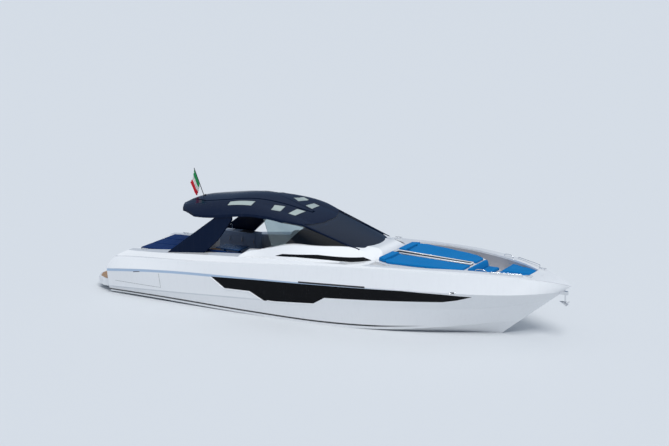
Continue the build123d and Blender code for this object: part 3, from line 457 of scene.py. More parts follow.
def cover_cloth(name, dye):
    """Woven cover of one colour, hardly faded."""
    made, tree, shader = material(name, Sheen_Weight=0.03, Sheen_Roughness=0.4, Specular_IOR_Level=0.12)
    dress(tree, shader, place(tree, weave, Dye=dye, Fading=0.02))
    return made


sky_blue_cloth = cover_cloth("sky_blue_cloth", (0.0, 0.175, 0.47))
navy_cloth = cover_cloth("navy_cloth", (0.001, 0.022, 0.110))
print("group", weave.name, "in", sky_blue_cloth.name, "and", navy_cloth.name)

# %% [markdown]
# ## Metal, rubber and trim
#
# Polished stainless shows fine hairlines, bronze propellers a cast unevenness, and black trim a dull
# grain. One group of scratches and tarnish serves all of them with different amounts.

# %% Shared effect: handled metal
TARNISH_BROWN = (0.10, 0.09, 0.08)

handled, handled_in, handled_out = node_group(
    "handled_metal",
    [("Colour", "color", (0.6, 0.6, 0.6, 1)), ("Tarnish", "value", 0.1), ("Gloss", "value", 0.1)], SURFACE)
tree = handled
spot = add(tree, "ShaderNodeTexCoord")
hair = add(tree, "ShaderNodeMapping", Scale=(12.0, 240.0, 240.0))
lines = add(tree, "ShaderNodeTexNoise", Scale=1.0, Detail=2.0)
patches = add(tree, "ShaderNodeTexNoise", Scale=7.0, Detail=5.0)
link(tree, (spot.outputs["Object"], hair.inputs["Vector"]), (hair.outputs[0], lines.inputs["Vector"]),
     (spot.outputs["Object"], patches.inputs["Vector"]))
dull = maths(tree, "MULTIPLY_ADD", patches.outputs["Fac"], 2.4, -0.9, clamp=True)
dull = maths(tree, "MULTIPLY", dull, handled_in.outputs["Tarnish"])
rough = maths(tree, "ADD", maths(tree, "MULTIPLY", lines.outputs["Fac"], 0.08),
              maths(tree, "MULTIPLY_ADD", dull, 0.5, handled_in.outputs["Gloss"]))
metal_bump = add(tree, "ShaderNodeBump", Strength=0.15, Distance=0.0006)
link(tree, (mixed(tree, dull, handled_in.outputs["Colour"], TARNISH_BROWN), handled_out.inputs["Colour"]),
     (rough, handled_out.inputs["Roughness"]), (lines.outputs["Fac"], metal_bump.inputs["Height"]),
     (metal_bump.outputs[0], handled_out.inputs["Normal"]))


def fitting_finish(name, colour, tarnish, gloss, **plain):
    """Finish of a fitting: its colour, how tarnished it is and how rough, and the shader's plain values."""
    made, tree, shader = material(name, **plain)
    dress(tree, shader, place(tree, handled, Colour=colour, Tarnish=tarnish, Gloss=gloss))
    return made


stainless = fitting_finish("polished_stainless", (0.74, 0.75, 0.77), 0.06, 0.06, Metallic=1.0)
bronze = fitting_finish("cast_bronze", (0.52, 0.33, 0.13), 0.5, 0.22, Metallic=1.0)
black_trim = fitting_finish("black_trim", (0.014, 0.015, 0.018), 0.1, 0.38)
console_grey = fitting_finish("console_grey", (0.28, 0.38, 0.55), 0.08, 0.30, Coat_Weight=0.2)
table_blue = fitting_finish("table_lacquer", (0.012, 0.085, 0.26), 0.05, 0.22, Coat_Weight=0.1,
                            Specular_IOR_Level=0.25)
print("group", handled.name, "in", [made.name for made in (stainless, bronze, black_trim, console_grey)])

# %% [markdown]
# ## Finishes on the solid pieces
#
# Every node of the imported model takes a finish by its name. The node keeps its mesh: only the
# material in its slot changes.

# %% Give each node its finish
FINISHES = (
    (hull_paint, ("hull",)),
    (gelcoat, ("deck_moulding", "cowl", "foredeck_trunk", "swim_platform", "stern_lid", "anchor_hatch",
               "cockpit_sofa_base", "helm_seat_bases")),
    (console_grey, ("wet_bar", "helm_console")),
    (black_glass, ("companionway_door", "hull_glass_starboard", "hull_glass_port", "cowl_glass_starboard",
                   "cowl_glass_port", "foredeck_skylight")),
    (navy_paint, ("hardtop", "hardtop_panel", "hardtop_legs", "pillars")),
    (windscreen_glass, ("windscreen",)),
    (side_glass, ("side_glass",)),
    (roof_glass, ("skylights",)),
    (teak, ("teak_soles",)),
    (navy_cloth, ("aft_sunpad", "cockpit_sofa", "helm_seats", "flag")),
    (sky_blue_cloth, ("foredeck_sunpad_port", "foredeck_sunpad_starboard", "bow_sofa", "bow_pad")),
    (table_blue, ("cockpit_table",)),
    (stainless, ("cleats", "bow_rails", "anchor_roller", "anchor", "shaft_port", "shaft_starboard")),
    (black_trim, ("flag_staff", "steering_wheel")),
    (bronze, ("propeller_port", "propeller_starboard", "shaft_brackets", "rudder_port", "rudder_starboard")),
)
finish_of = {name: finish for finish, names in FINISHES for name in names}
for name, node in nodes.items():
    node.data.materials.clear()
    node.data.materials.append(finish_of[name])
print("finished", len(finish_of), "nodes")

# %% [markdown]
# ## Cushions: from foam blanks to stuffed covers
#
# Upholstery starts as cut foam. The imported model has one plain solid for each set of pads, so a welded
# copy of it is planed down to the single cushions that lie side by side on the boat. Each blank is drawn
# in a little on all sides, because it swells once it is stuffed, and its corners are rounded as foam is.

# %% Cut one foam blank out of a soft solid
FOAM_INSET = 0.014
FOAM_CORNER = 0.035
FOAM_EDGE = 0.016
MERGE_WITHIN = 0.0002
OPEN = (None, None)


def whole(mesh):
    """All the geometry of a bmesh, as the cutting plane takes it."""
    return mesh.verts[:] + mesh.edges[:] + mesh.faces[:]


def foam_blank(node_name, spans, rests):
    """Closed foam shape: a node's solid between its limits in x, y and z, still full size where it rests."""
    blank = bmesh.new()
    blank.from_mesh(nodes[node_name].data)
    bmesh.ops.remove_doubles(blank, verts=blank.verts, dist=MERGE_WITHIN)
    for axis, span in enumerate(spans):
        for limit, side in zip(span, (-1.0, 1.0)):
            if limit is not None:
                plane_at, plane_normal = Vector((0, 0, 0)), Vector((0, 0, 0))
                plane_at[axis], plane_normal[axis] = limit, side
                bmesh.ops.bisect_plane(blank, geom=whole(blank), dist=0.0001, plane_co=plane_at,
                                       plane_no=plane_normal, clear_outer=True)
                bmesh.ops.holes_fill(blank, edges=[edge for edge in blank.edges if edge.is_boundary])
    bmesh.ops.dissolve_limit(blank, angle_limit=math.radians(2), verts=blank.verts, edges=blank.edges)
    blank.normal_update()
    under = {corner for face in blank.faces if face.normal.dot(rests) > 0.9 for corner in face.verts}
    moved = {corner: -corner.normal * corner.calc_shell_factor() * FOAM_INSET for corner in blank.verts}
    for corner, step in moved.items():
        corner.co += step + (rests * FOAM_INSET if corner in under else Vector((0, 0, 0)))
    return blank


# %% [markdown]
# A cushion is round where nothing holds it and flat where it lies. A voxel remesh gives the blank an even
# net of points. Blender's cloth then blows it up from inside for twenty frames, without gravity. The
# points of the underside and of the sewn channels are pinned, so the cover bulges between them, as it
# does between real seams. Last, each point's move is bent towards a limit, which keeps the pad tight.

# %% Stuff a blank until it crowns
STUFFING_FRAMES = 20
STUFFING_PRESSURE = 4.0
COVER_GIVE = 0.024
CHANNEL_REACH = 0.55
UNDERSIDE_FROM, UPPER_SIDE_FROM = 0.55, -0.4


def new_piece(name, mesh, *finishes):
    """Object at the origin from a bmesh, with its finishes, in the scene."""
    data = bpy.data.meshes.new(name)
    mesh.to_mesh(data)
    mesh.free()
    piece = bpy.data.objects.new(name, data)
    bpy.context.scene.collection.objects.link(piece)
    for finish in finishes:
        data.materials.append(finish)
    return piece


def apply_modifiers(piece):
    """Write what the modifiers make into the piece's own mesh."""
    graph = bpy.context.evaluated_depsgraph_get()
    finished = bpy.data.meshes.new_from_object(piece.evaluated_get(graph))
    piece.modifiers.clear()
    piece.data = finished


def stuff(piece, rests, voxel, channels):
    """Remesh a blank, pin its underside and channels, and blow it up with cloth pressure."""
    fine = piece.modifiers.new("fine_net", "REMESH")
    fine.mode, fine.voxel_size = "VOXEL", voxel
    apply_modifiers(piece)
    flat = [point.co.copy() for point in piece.data.vertices]
    normals = [point.normal.copy() for point in piece.data.vertices]
    pinned = []
    for index, (place_at, normal) in enumerate(zip(flat, normals)):
        sewn = any(abs(place_at[axis] - at) < CHANNEL_REACH * voxel for axis, at in channels)
        facing = normal.dot(rests)
        if facing > UNDERSIDE_FROM or (sewn and facing < UPPER_SIDE_FROM):
            pinned.append(index)
    piece.vertex_groups.new(name="pinned").add(pinned, 1.0, "REPLACE")
    cover = piece.modifiers.new("stuffing", "CLOTH")
    cover.settings.use_pressure = True
    cover.settings.uniform_pressure_force = STUFFING_PRESSURE
    cover.settings.effector_weights.gravity = 0.0
    cover.settings.vertex_group_mass = "pinned"
    for step in range(1, STUFFING_FRAMES + 1):
        bpy.context.scene.frame_set(step)
    apply_modifiers(piece)
    for point, before in zip(piece.data.vertices, flat):
        move = point.co - before
        point.co = before + move * COVER_GIVE / (COVER_GIVE + move.length)
    bpy.context.scene.frame_set(1)


# %% [markdown]
# Every cover is finished with piping: a thin cord of the same cloth sewn into the seam round its top. The
# seam's line comes from the foam blank, whose largest face on the upper side still has the clean outline.
# Points along that outline are dropped on the nearest place of the stuffed cover, and a round bevelled
# curve through them becomes the piping.

# %% Sew piping round the upper seam
PIPING_RADIUS = 0.007
PIPING_STEP = 0.06


def seam_outline(blank, rests):
    """Evenly spaced points round the blank's face opposite to the one that it rests on."""
    upward = [face for face in blank.faces if face.normal.dot(rests) < -0.6]
    corners = [corner.co.copy() for corner in max(upward, key=lambda face: face.calc_area()).verts]
    points = []
    for here, after in zip(corners, corners[1:] + corners[:1]):
        steps = max(1, round((after - here).length / PIPING_STEP))
        points += [here.lerp(after, step / steps) for step in range(steps)]
    return points


def round_cord(name, points, radius, finish, closed=False, sharp=False):
    """Mesh tube along a smooth curve near the points, or straight from one to the next where it is sharp."""
    line = bpy.data.curves.new(name + "_line", "CURVE")
    line.dimensions, line.bevel_depth, line.bevel_resolution, line.use_fill_caps = "3D", radius, 1, True
    run = line.splines.new("POLY" if sharp else "NURBS")
    run.points.add(len(points) - 1)
    for handle, at in zip(run.points, points):
        handle.co = (*at, 1.0)
    run.use_cyclic_u, run.use_endpoint_u = closed, not closed
    run.order_u, run.resolution_u = 3, 2
    line.materials.append(finish)
    drawn = bpy.data.objects.new(name + "_line", line)
    bpy.context.scene.collection.objects.link(drawn)
    data = bpy.data.meshes.new_from_object(drawn.evaluated_get(bpy.context.evaluated_depsgraph_get()))
    bpy.data.objects.remove(drawn)
    cord = bpy.data.objects.new(name, data)
    bpy.context.scene.collection.objects.link(cord)
    return cord


def cushion(name, node_name, cover, x=OPEN, y=OPEN, z=OPEN, rests=(0, 0, -1), body="root", voxel=0.03,
            channels=()):
    """One stuffed cushion with its piping, standing in for its share of a soft node."""
    cloth, slot = cover
    rests = Vector(rests)
    blank = foam_blank(node_name, (x, y, z), rests)
    outline = seam_outline(blank, rests)
    upright = [edge for edge in blank.edges
               if abs((edge.verts[0].co - edge.verts[1].co).normalized().dot(rests)) > 0.8]
    bmesh.ops.bevel(blank, geom=upright, offset=FOAM_CORNER, segments=3, profile=0.5, affect="EDGES",
                    material=-1)
    rim = [edge for edge in blank.edges
           if not edge.is_boundary and edge.calc_face_angle(0) > math.radians(50)]
    bmesh.ops.bevel(blank, geom=rim, offset=FOAM_EDGE, segments=2, profile=0.5, affect="EDGES", material=-1)
    piece = new_piece(name, blank, cloth)
    stuff(piece, rests, voxel, channels)
    skin = BVHTree.FromObject(piece, bpy.context.evaluated_depsgraph_get())
    seam = [skin.find_nearest(at)[0] for at in outline]
    piping = round_cord(name + "_piping", seam, PIPING_RADIUS, cloth, closed=True)
    smooth = piece.modifiers.new("rounded", "SUBSURF")
    smooth.levels = smooth.render_levels = 1
    for made in (piece, piping):
        made.data.shade_smooth()
        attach(made, body)
    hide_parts(node_name)


def cushions_so_far():
    """How many cushions have got their piping."""
    return sum(piece.name.endswith("_piping") for piece in bpy.data.objects)


# %% [markdown]
# ## The boat's cushions
#
# The bright blue pads lie on the foredeck: two long wedges with a raised headrest at their aft end, a
# sofa facing the bow and a pad forward of it. The cockpit and the stern wear navy covers. Each call names
# the node that a cushion is cut from, and its limits along x, y and z. An empty limit leaves that side as
# the solid has it. A channel is an axis and the place on it where a seam crosses the pad.

# %% Foredeck pads
BLUE_COVER, NAVY_COVER = (sky_blue_cloth, "blue_cover"), (navy_cloth, "navy_cover")
SIDES_Y = {"starboard": (None, 0.0), "port": (0.0, None)}
HEADREST_X = 3.30
MATTRESS_CHANNELS = ((0, 4.35), (0, 5.40))

for side, across in SIDES_Y.items():
    node_name = "foredeck_sunpad_" + side
    cushion(node_name + "_headrest", node_name, BLUE_COVER, x=(None, HEADREST_X), y=across, voxel=0.025)
    cushion(node_name + "_mattress", node_name, BLUE_COVER, x=(HEADREST_X, None), y=across,
            channels=MATTRESS_CHANNELS)
print("cushions with the foredeck pads", cushions_so_far())

# %% Bow sofa and bow pad
BOW_SEAT_TOP = 2.352
BOW_BACK_X = 6.62
BOW_BACK_CHANNELS = ((1, -0.39), (1, 0.0), (1, 0.39))

for index, across in enumerate(SIDES_Y.values(), 1):
    cushion(f"bow_sofa_seat_{index}", "bow_sofa", BLUE_COVER, x=(BOW_BACK_X, None), y=across,
            z=(None, BOW_SEAT_TOP), voxel=0.02)
    cushion(f"bow_pad_{index}", "bow_pad", BLUE_COVER, y=across, voxel=0.025)
cushion("bow_sofa_back", "bow_sofa", BLUE_COVER, x=(None, BOW_BACK_X), rests=(-1, 0, 0), voxel=0.022,
        channels=BOW_BACK_CHANNELS)
print("cushions with the bow's", cushions_so_far())

# %% Stern sunpad, which lifts with the lid
AFT_PAD_SPLITS = (None, -0.42, 0.42, None)
AFT_PAD_CHANNELS = ((0, -7.85), (0, -7.35))

for index, across in enumerate(zip(AFT_PAD_SPLITS, AFT_PAD_SPLITS[1:]), 1):
    cushion(f"aft_sunpad_{index}", "aft_sunpad", NAVY_COVER, y=across, body="stern_lid",
            channels=AFT_PAD_CHANNELS)
print("cushions with the stern's", cushions_so_far())

# %% Cockpit sofa: seats in front, backs along three sides
SOFA_SEAT_TOP = 1.912
SOFA_OUT_Y, SOFA_MID_Y = -1.43, -1.00
SOFA_AFT_X, SOFA_FORWARD_X = -5.52, -3.08
SOFA_SPLITS_X = (SOFA_AFT_X, -4.71, -3.89, SOFA_FORWARD_X)
SOFA_RETURNS_X = {"aft": (SOFA_AFT_X, -5.09), "forward": (-3.51, SOFA_FORWARD_X)}
SOFA_VOXEL = 0.022

for index, along in enumerate(zip(SOFA_SPLITS_X, SOFA_SPLITS_X[1:]), 1):
    cushion(f"cockpit_sofa_seat_{index}", "cockpit_sofa", NAVY_COVER, x=along, y=(SOFA_OUT_Y, SOFA_MID_Y),
            z=(None, SOFA_SEAT_TOP), voxel=SOFA_VOXEL)
    cushion(f"cockpit_sofa_back_{index}", "cockpit_sofa", NAVY_COVER, x=along, y=(None, SOFA_OUT_Y),
            rests=(0, -1, 0), voxel=SOFA_VOXEL)
for word, along in SOFA_RETURNS_X.items():
    cushion("cockpit_sofa_seat_" + word, "cockpit_sofa", NAVY_COVER, x=along, y=(SOFA_MID_Y, None),
            z=(None, SOFA_SEAT_TOP), voxel=SOFA_VOXEL)
cushion("cockpit_sofa_back_aft", "cockpit_sofa", NAVY_COVER, x=(None, SOFA_AFT_X), rests=(-1, 0, 0),
        voxel=SOFA_VOXEL)
cushion("cockpit_sofa_back_forward", "cockpit_sofa", NAVY_COVER, x=(SOFA_FORWARD_X, None), rests=(1, 0, 0),
        voxel=SOFA_VOXEL)
print("cushions with the cockpit sofa", cushions_so_far())

# %% Helm seats
HELM_SEATS_Y = (-0.98, -0.26)
HELM_SEAT_HALF = 0.33
HELM_SEAT_TOP = 2.360
BOLSTER = 0.20

for index, middle in enumerate(HELM_SEATS_Y, 1):
    across = (middle - HELM_SEAT_HALF, middle + HELM_SEAT_HALF)
    cushion(f"helm_seat_{index}", "helm_seats", NAVY_COVER, y=across, z=(None, HELM_SEAT_TOP), voxel=0.018)
    cushion(f"helm_seat_back_{index}", "helm_seats", NAVY_COVER, y=across, z=(HELM_SEAT_TOP, None),
            rests=(-1, 0, 0), voxel=0.018, channels=((1, middle - BOLSTER), (1, middle + BOLSTER)))
print("cushions with the helm seats", cushions_so_far())

# %% [markdown]
# ## The flag
#
# In still air a flag hangs from its staff: the hoist stays straight, the free end drops, and the cloth
# between gathers in folds that fan out from the upper corner. A flat grid of quads is a good start. Each
# point knows how far it lies along the fly and down the hoist, and a curve for the upper hem, a curve for
# the lower hem and a growing wave between them give it its place. The bands of colour follow the cloth
# because the grid's own map carries them.

# %% Flag cloth with its three bands
FLAG_GREEN, FLAG_WHITE, FLAG_RED = (0.02, 0.27, 0.09), (0.80, 0.80, 0.78), (0.62, 0.02, 0.04)
STITCH_RED, STITCHED = (0.2, 0.02, 0.03), (0.965, 0.972)

flag_cloth, tree, shader = material("flag_cloth", Sheen_Weight=0.2, Specular_IOR_Level=0.2)
cloth = place(tree, weave, Dye=FLAG_WHITE, Fading=0.05, Thread=0.003)
chart = add(tree, "ShaderNodeUVMap", uv_map="cloth_map")
fly_axes = add(tree, "ShaderNodeSeparateXYZ")
link(tree, (chart.outputs["UV"], fly_axes.inputs[0]))
fly = fly_axes.outputs["X"]
bands = mixed(tree, maths(tree, "LESS_THAN", fly, 1 / 3), cloth.outputs["Colour"], FLAG_GREEN)
bands = mixed(tree, maths(tree, "GREATER_THAN", fly, 2 / 3), bands, FLAG_RED)
stitches = maths(tree, "MULTIPLY", between(tree, fly, *STITCHED, 0.002), 0.5)
dress(tree, shader, cloth, mixed(tree, stitches, bands, STITCH_RED))

# %% Hang the flag
STAFF_FOOT, STAFF_HEAD = Vector((-5.850, 0.0, 3.850)), Vector((-6.360, 0.0, 5.120))
STAFF_RADIUS = 0.0153
UPPER_HEM = ((0.05, 0.003), (0.36, 0.16), (0.50, 0.40))
LOWER_HEM = ((0.69, 0.003), (0.90, 0.12), (1.10, 0.33))
FOLDS, FOLD_DEPTH, FOLD_LEAN, FOLD_SWAY = 6.0, 0.041, 0.55, 1.3
RUFFLE_DEPTH = 0.010
FLAG_SEGMENTS = (144, 40)

down_staff = (STAFF_FOOT - STAFF_HEAD).normalized()
off_staff = Vector((0, 1, 0)).cross(down_staff)


def on_hem(hem, share):
    """Place in the staff's plane, by how far along the hem it is."""
    (a0, b0), (a1, b1), (a2, b2) = hem
    first, middle, last = (1 - share) ** 2, 2 * share * (1 - share), share ** 2
    return Vector((first * a0 + middle * a1 + last * a2, first * b0 + middle * b1 + last * b2))


cloth_grid = bmesh.new()
bmesh.ops.create_grid(cloth_grid, x_segments=FLAG_SEGMENTS[0], y_segments=FLAG_SEGMENTS[1], size=0.5,
                      calc_uvs=False)
flag_map = cloth_grid.loops.layers.uv.new("cloth_map")
for face in cloth_grid.faces:
    for corner in face.loops:
        corner[flag_map].uv = (corner.vert.co.x + 0.5, corner.vert.co.y + 0.5)
for point in cloth_grid.verts:
    fly, drop = point.co.x + 0.5, 0.5 - point.co.y
    along, out = on_hem(UPPER_HEM, fly).lerp(on_hem(LOWER_HEM, fly), drop)
    wave = math.sin(2 * math.pi * (FOLDS * fly - FOLD_LEAN * drop) + FOLD_SWAY * math.sin(3.0 * drop))
    ruffle = noise.noise(Vector((7.0 * fly, 2.0 * drop, 4.2))) * RUFFLE_DEPTH * fly
    side = FOLD_DEPTH * min(1.0, 3.0 * fly) * wave + ruffle
    point.co = STAFF_HEAD + down_staff * along + off_staff * (out + STAFF_RADIUS) + Vector((0, side, 0))
bmesh.ops.recalc_face_normals(cloth_grid, faces=cloth_grid.faces)
flag_area = sum(face.calc_area() for face in cloth_grid.faces)
flag = new_piece("hanging_flag", cloth_grid, flag_cloth)
flag.data.shade_smooth()
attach(flag, "root")
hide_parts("flag")

# %% [markdown]
# ## Small fittings
#
# A fitting is one small mesh that rides with the boat. Its finish and the name of its material slot go
# together, so each pair has a name here. Cords become seals, seams and rails: a round cord along a run of
# points is quick to place, and what is sunk under a surface shows as a narrow line on it.

# %% Fix small things to the boat
TRIM, STEEL, SHELL = (black_trim, "black_trim"), (stainless, "stainless"), (gelcoat, "gelcoat")
BAR = (console_grey, "bar_grey")


def fitting(piece):
    """Shade a small piece smooth and fix it to the boat."""
    piece.data.shade_smooth()
    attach(piece, "root")


def cord_fitting(name, route, radius, look, closed=False, sharp=False):
    """Round cord along a route, in the finish of a look; the look's slot name is not used."""
    finish, slot = look
    fitting(round_cord(name, route, radius, finish, closed=closed, sharp=sharp))


# %% [markdown]
# ## Rims and seals
#
# Each pane sits on a rubber seal that reads as a thin dark line round the glass. The line is already in
# the solid model: it is the border between a pane's outward face and its edges. The helper walks along
# that border and hands back its points, and the same round cord as the piping turns them into a seal.
# The windscreen's seal stops above the cowl, where the pane goes down into its pocket.

# %% Walk round the outward face of each pane
def pane_outlines(node_name, facing):
    """Closed runs of points round the faces of a node that look a given way."""
    pane = bmesh.new()
    pane.from_mesh(nodes[node_name].data)
    bmesh.ops.remove_doubles(pane, verts=pane.verts, dist=MERGE_WITHIN)
    outward = {face.index for face in pane.faces if face.normal.dot(Vector(facing)) > 0.3}
    waiting = {edge.index: edge for edge in pane.edges
               if sum(face.index in outward for face in edge.link_faces) == 1}
    runs = []
    while waiting:
        first = waiting.pop(min(waiting))
        run = list(first.verts)
        while True:
            onward = [edge for edge in run[-1].link_edges if edge.index in waiting]
            if not onward:
                break
            run.append(waiting.pop(onward[0].index).other_vert(run[-1]))
        runs.append([corner.co.copy() for corner in run[:-1]])
    pane.free()
    return [run for run in runs if len(run) > 3]


def thinned(run, least=0.02):
    """Run of points without those that crowd the one before."""
    kept = [run[0]]
    for at in run[1:]:
        if (at - kept[-1]).length > least:
            kept.append(at)
    return kept


def part_above(run, height):
    """The points of a closed run that lie above a height, in one open run."""
    high = [at.z > height for at in run]
    start = next((index for index in range(len(run)) if high[index] and not high[index - 1]), 0)
    return [at for at, kept in zip(run[start:] + run[:start], high[start:] + high[:start]) if kept]


def seal_round(name, node_name, facing, radius, above=None):
    """Rubber cord round each pane of a node, or round the part of it above a height."""
    for index, run in enumerate(pane_outlines(node_name, facing), 1):
        run = thinned(run) if above is None else part_above(thinned(run), above)
        if len(run) > 3:
            cord_fitting(f"{name}_{index}", run, radius, TRIM, closed=above is None, sharp=True)


# %% Seals of the windows
SCREEN_SEAL_FROM_Z = 3.00

for side, way in (("starboard", -1), ("port", 1)):
    seal_round(f"hull_glass_seal_{side}", "hull_glass_" + side, (0, way, 0), 0.012)
    seal_round(f"cowl_glass_seal_{side}", "cowl_glass_" + side, (0, way, 0), 0.008)
seal_round("skylight_seal", "skylights", (0, 0, 1), 0.007)
seal_round("windscreen_seal", "windscreen", (0.7, 0, 0.7), 0.012, above=SCREEN_SEAL_FROM_Z)

# %% White coaming round the foredeck skylight
SKYLIGHT_COAMING = 0.030
for run in pane_outlines("foredeck_skylight", (0, 0, 1)):
    cord_fitting("foredeck_skylight_coaming", thinned(run), SKYLIGHT_COAMING, SHELL, closed=True, sharp=True)
    print("coaming along", len(run), "points")

# %% [markdown]
# ## Fittings on the topsides
#
# Vents, seams and fairleads follow the hull's own curve, so each is placed by where it lies along the
# boat and how high, and a ray shot in from abeam finds the skin there. Dark openings are black cords that
# sit mostly under the skin, standing in for the shade inside the opening: what stays above it reads as a
# slot with rounded ends.

# %% Place things on the hull's skin
hull_skin = BVHTree.FromObject(nodes["hull"], bpy.context.evaluated_depsgraph_get())
ABEAM_Y = 4.0


def on_skin(x, z, side, sunk=0.0):
    """Point on the hull's side, or a little under the skin."""
    found, normal, _, _ = hull_skin.ray_cast(Vector((x, side * ABEAM_Y, z)), Vector((0, -side, 0)))
    return found - normal * sunk


def skin_line(name, points, side, radius, sunk, look, closed=False, steps=8):
    """Cord along a line of x and z on the hull's side."""
    ends = list(zip(points, points[1:] + points[:1] if closed else points[1:]))
    route = [on_skin(x0 + (x1 - x0) * step / steps, z0 + (z1 - z0) * step / steps, side, sunk)
             for (x0, z0), (x1, z1) in ends for step in range(steps)]
    if not closed:
        route.append(on_skin(*points[-1], side, sunk))
    cord_fitting(name, route, radius, look, closed=closed, sharp=True)


# %% Air slots, quarter panel seams, fairleads
AIR_SLOT = [(0.10, 1.710), (1.55, 1.773), (2.95, 1.820)]
LEAF_SLOT = [(-7.86, 1.128), (-7.53, 1.185)]
QUARTER_SEAM = [(-8.89, 0.61), (-6.55, 0.62), (-6.57, 1.23)]
GLASS_LIP = [(-4.04, 1.41), (-3.41, 0.975), (-2.25, 1.00), (-1.70, 0.715), (-0.92, 0.725), (0.62, 0.835)]
FAIRLEAD_X, FAIRLEAD_Z, FAIRLEAD_HALF = 6.37, 1.893, (0.11, 0.035)
FAIRLEAD_MOUTH = [(FAIRLEAD_X - 0.07, FAIRLEAD_Z), (FAIRLEAD_X + 0.07, FAIRLEAD_Z)]
OVAL_STEPS = 20


def oval(middle_x, middle_z, half):
    """Points of x and z round an oval."""
    turns = [2 * math.pi * step / OVAL_STEPS for step in range(OVAL_STEPS)]
    return [(middle_x + half[0] * math.cos(turn), middle_z + half[1] * math.sin(turn)) for turn in turns]


for side, word in ((-1, "starboard"), (1, "port")):
    # The black cords of the air slot, quarter slot and fairlead mouth are painted shade standing in for the
    # hollows inside them.
    skin_line("air_slot_" + word, AIR_SLOT, side, 0.040, 0.026, TRIM)
    skin_line("quarter_slot_" + word, LEAF_SLOT, side, 0.030, 0.022, TRIM, steps=3)
    skin_line("quarter_seam_" + word, QUARTER_SEAM, side, 0.008, 0.005, TRIM)
    skin_line("glass_lip_" + word, GLASS_LIP, side, 0.024, 0.008, SHELL)
    skin_line("fairlead_rim_" + word, oval(FAIRLEAD_X, FAIRLEAD_Z, FAIRLEAD_HALF), side, 0.010, 0.0, STEEL,
              closed=True, steps=1)
    skin_line("fairlead_mouth_" + word, FAIRLEAD_MOUTH, side, 0.034, 0.024, TRIM, steps=4)
    print(word, "skin beside the fairlead", [round(v, 2) for v in on_skin(FAIRLEAD_X, FAIRLEAD_Z, side)])

# %% [markdown]
# ## Handrails and the staff's socket
#
# A short handrail stands on the side deck's cap beside the bow seat. The staff of the flag stands in a
# round socket on the roof, which is a cone that narrows upwards, with a bevelled upper edge.

# %% Handrails beside the bow seat
CAP_TOP_Z = 2.652
GRAB_RAIL = ((7.00, 1.30, -0.01), (7.00, 1.30, 0.07), (7.12, 1.28, 0.10), (7.30, 1.24, 0.09),
             (7.42, 1.19, 0.06), (7.42, 1.19, -0.03))
GRAB_RAIL_RADIUS = 0.013

for side, word in ((-1, "starboard"), (1, "port")):
    rail = [Vector((x, side * y, CAP_TOP_Z + over_cap)) for x, y, over_cap in GRAB_RAIL]
    cord_fitting("grab_rail_" + word, rail, GRAB_RAIL_RADIUS, STEEL)
    print("grab rail", word, "from x", rail[0].x, "to", rail[-1].x)

# %% Socket of the flag staff
SOCKET_RADIUS, SOCKET_HEIGHT = 0.042, 0.050
SOCKET_MIDDLE = (-5.845, 0.0, 4.052)

socket_mesh = bmesh.new()
bmesh.ops.create_cone(socket_mesh, cap_ends=True, segments=24, radius1=SOCKET_RADIUS,
                      radius2=SOCKET_RADIUS * 0.8, depth=SOCKET_HEIGHT)
bmesh.ops.translate(socket_mesh, vec=SOCKET_MIDDLE, verts=socket_mesh.verts)
upper_rim = [edge for edge in socket_mesh.edges if min(end.co.z for end in edge.verts) > SOCKET_MIDDLE[2]]
bmesh.ops.bevel(socket_mesh, geom=upper_rim, offset=0.008, segments=2, profile=0.5, affect="EDGES",
                material=-1)
fitting(new_piece("staff_socket", socket_mesh, black_trim))
print("staff socket's upper rim had", len(upper_rim), "edges")

# %% [markdown]
# ## Helm, bar and deck details
#
# These are small moulded things: a screen, a lever box, a locker front. A bmesh cube is sized, its edges
# are bevelled, and where a face is dished an inset pushes it in. The helper takes the two opposite
# corners, so a reader sees at once where the thing sits.

# %% Rounded block from two corners
def moulded_block(name, low, high, round_by, look, dish=None, turn=None, about=None):
    """Bevelled block between two corners; dish = (direction, border, depth) sinks one face."""
    low, high = Vector(low), Vector(high)
    block = bmesh.new()
    bmesh.ops.create_cube(block, size=1.0)
    bmesh.ops.scale(block, vec=high - low, verts=block.verts)
    bmesh.ops.translate(block, vec=(low + high) / 2, verts=block.verts)
    if dish:
        direction, border, depth = dish
        sunk = [max(block.faces, key=lambda face: face.normal.dot(Vector(direction)))]
        bmesh.ops.inset_region(block, faces=sunk, thickness=border, depth=0.0, use_even_offset=True)
        bmesh.ops.inset_region(block, faces=sunk, thickness=border * 0.3, depth=-depth, use_even_offset=True)
    bmesh.ops.bevel(block, geom=block.edges[:], offset=round_by, segments=2, profile=0.5, affect="EDGES",
                    material=-1)
    if turn:
        bmesh.ops.rotate(block, verts=block.verts, cent=Vector(about), matrix=turn)
    finish, slot = look
    fitting(new_piece(name, block, finish))


# %% Screens, levers and switches on the helm console
DASH_LOW, DASH_HIGH = Vector((0.95, 0, 2.56)), Vector((1.25, 0, 2.86))
DASH_SUNK = 0.004
SCREENS = (("chart_screen", -1.02, 0.40), ("engine_screen", -0.22, 0.34))
SCREEN_DISH = ((0, 0, 1), 0.014, 0.006)
SWITCH_ROW, FIRST_SWITCH_Y, SWITCH_PITCH, SWITCH_COUNT = 0.165, -0.82, 0.08, 6
LEVERS_Y = (0.055, 0.105)
dash_slope = math.atan2(DASH_HIGH.z - DASH_LOW.z, DASH_HIGH.x - DASH_LOW.x)
dash_turn = Matrix.Rotation(-dash_slope, 3, "Y")
dash_middle = (DASH_LOW + DASH_HIGH) / 2

screen_glass, tree, shader = material("instrument_screen", Specular_IOR_Level=0.4, Coat_Weight=0.6,
                                      Coat_Roughness=0.03)
dress(tree, shader, place(tree, moulded_skin, Colour=(0.006, 0.010, 0.016), Streaks=0.02, Waviness=0.01,
                          Base_Roughness=0.12))


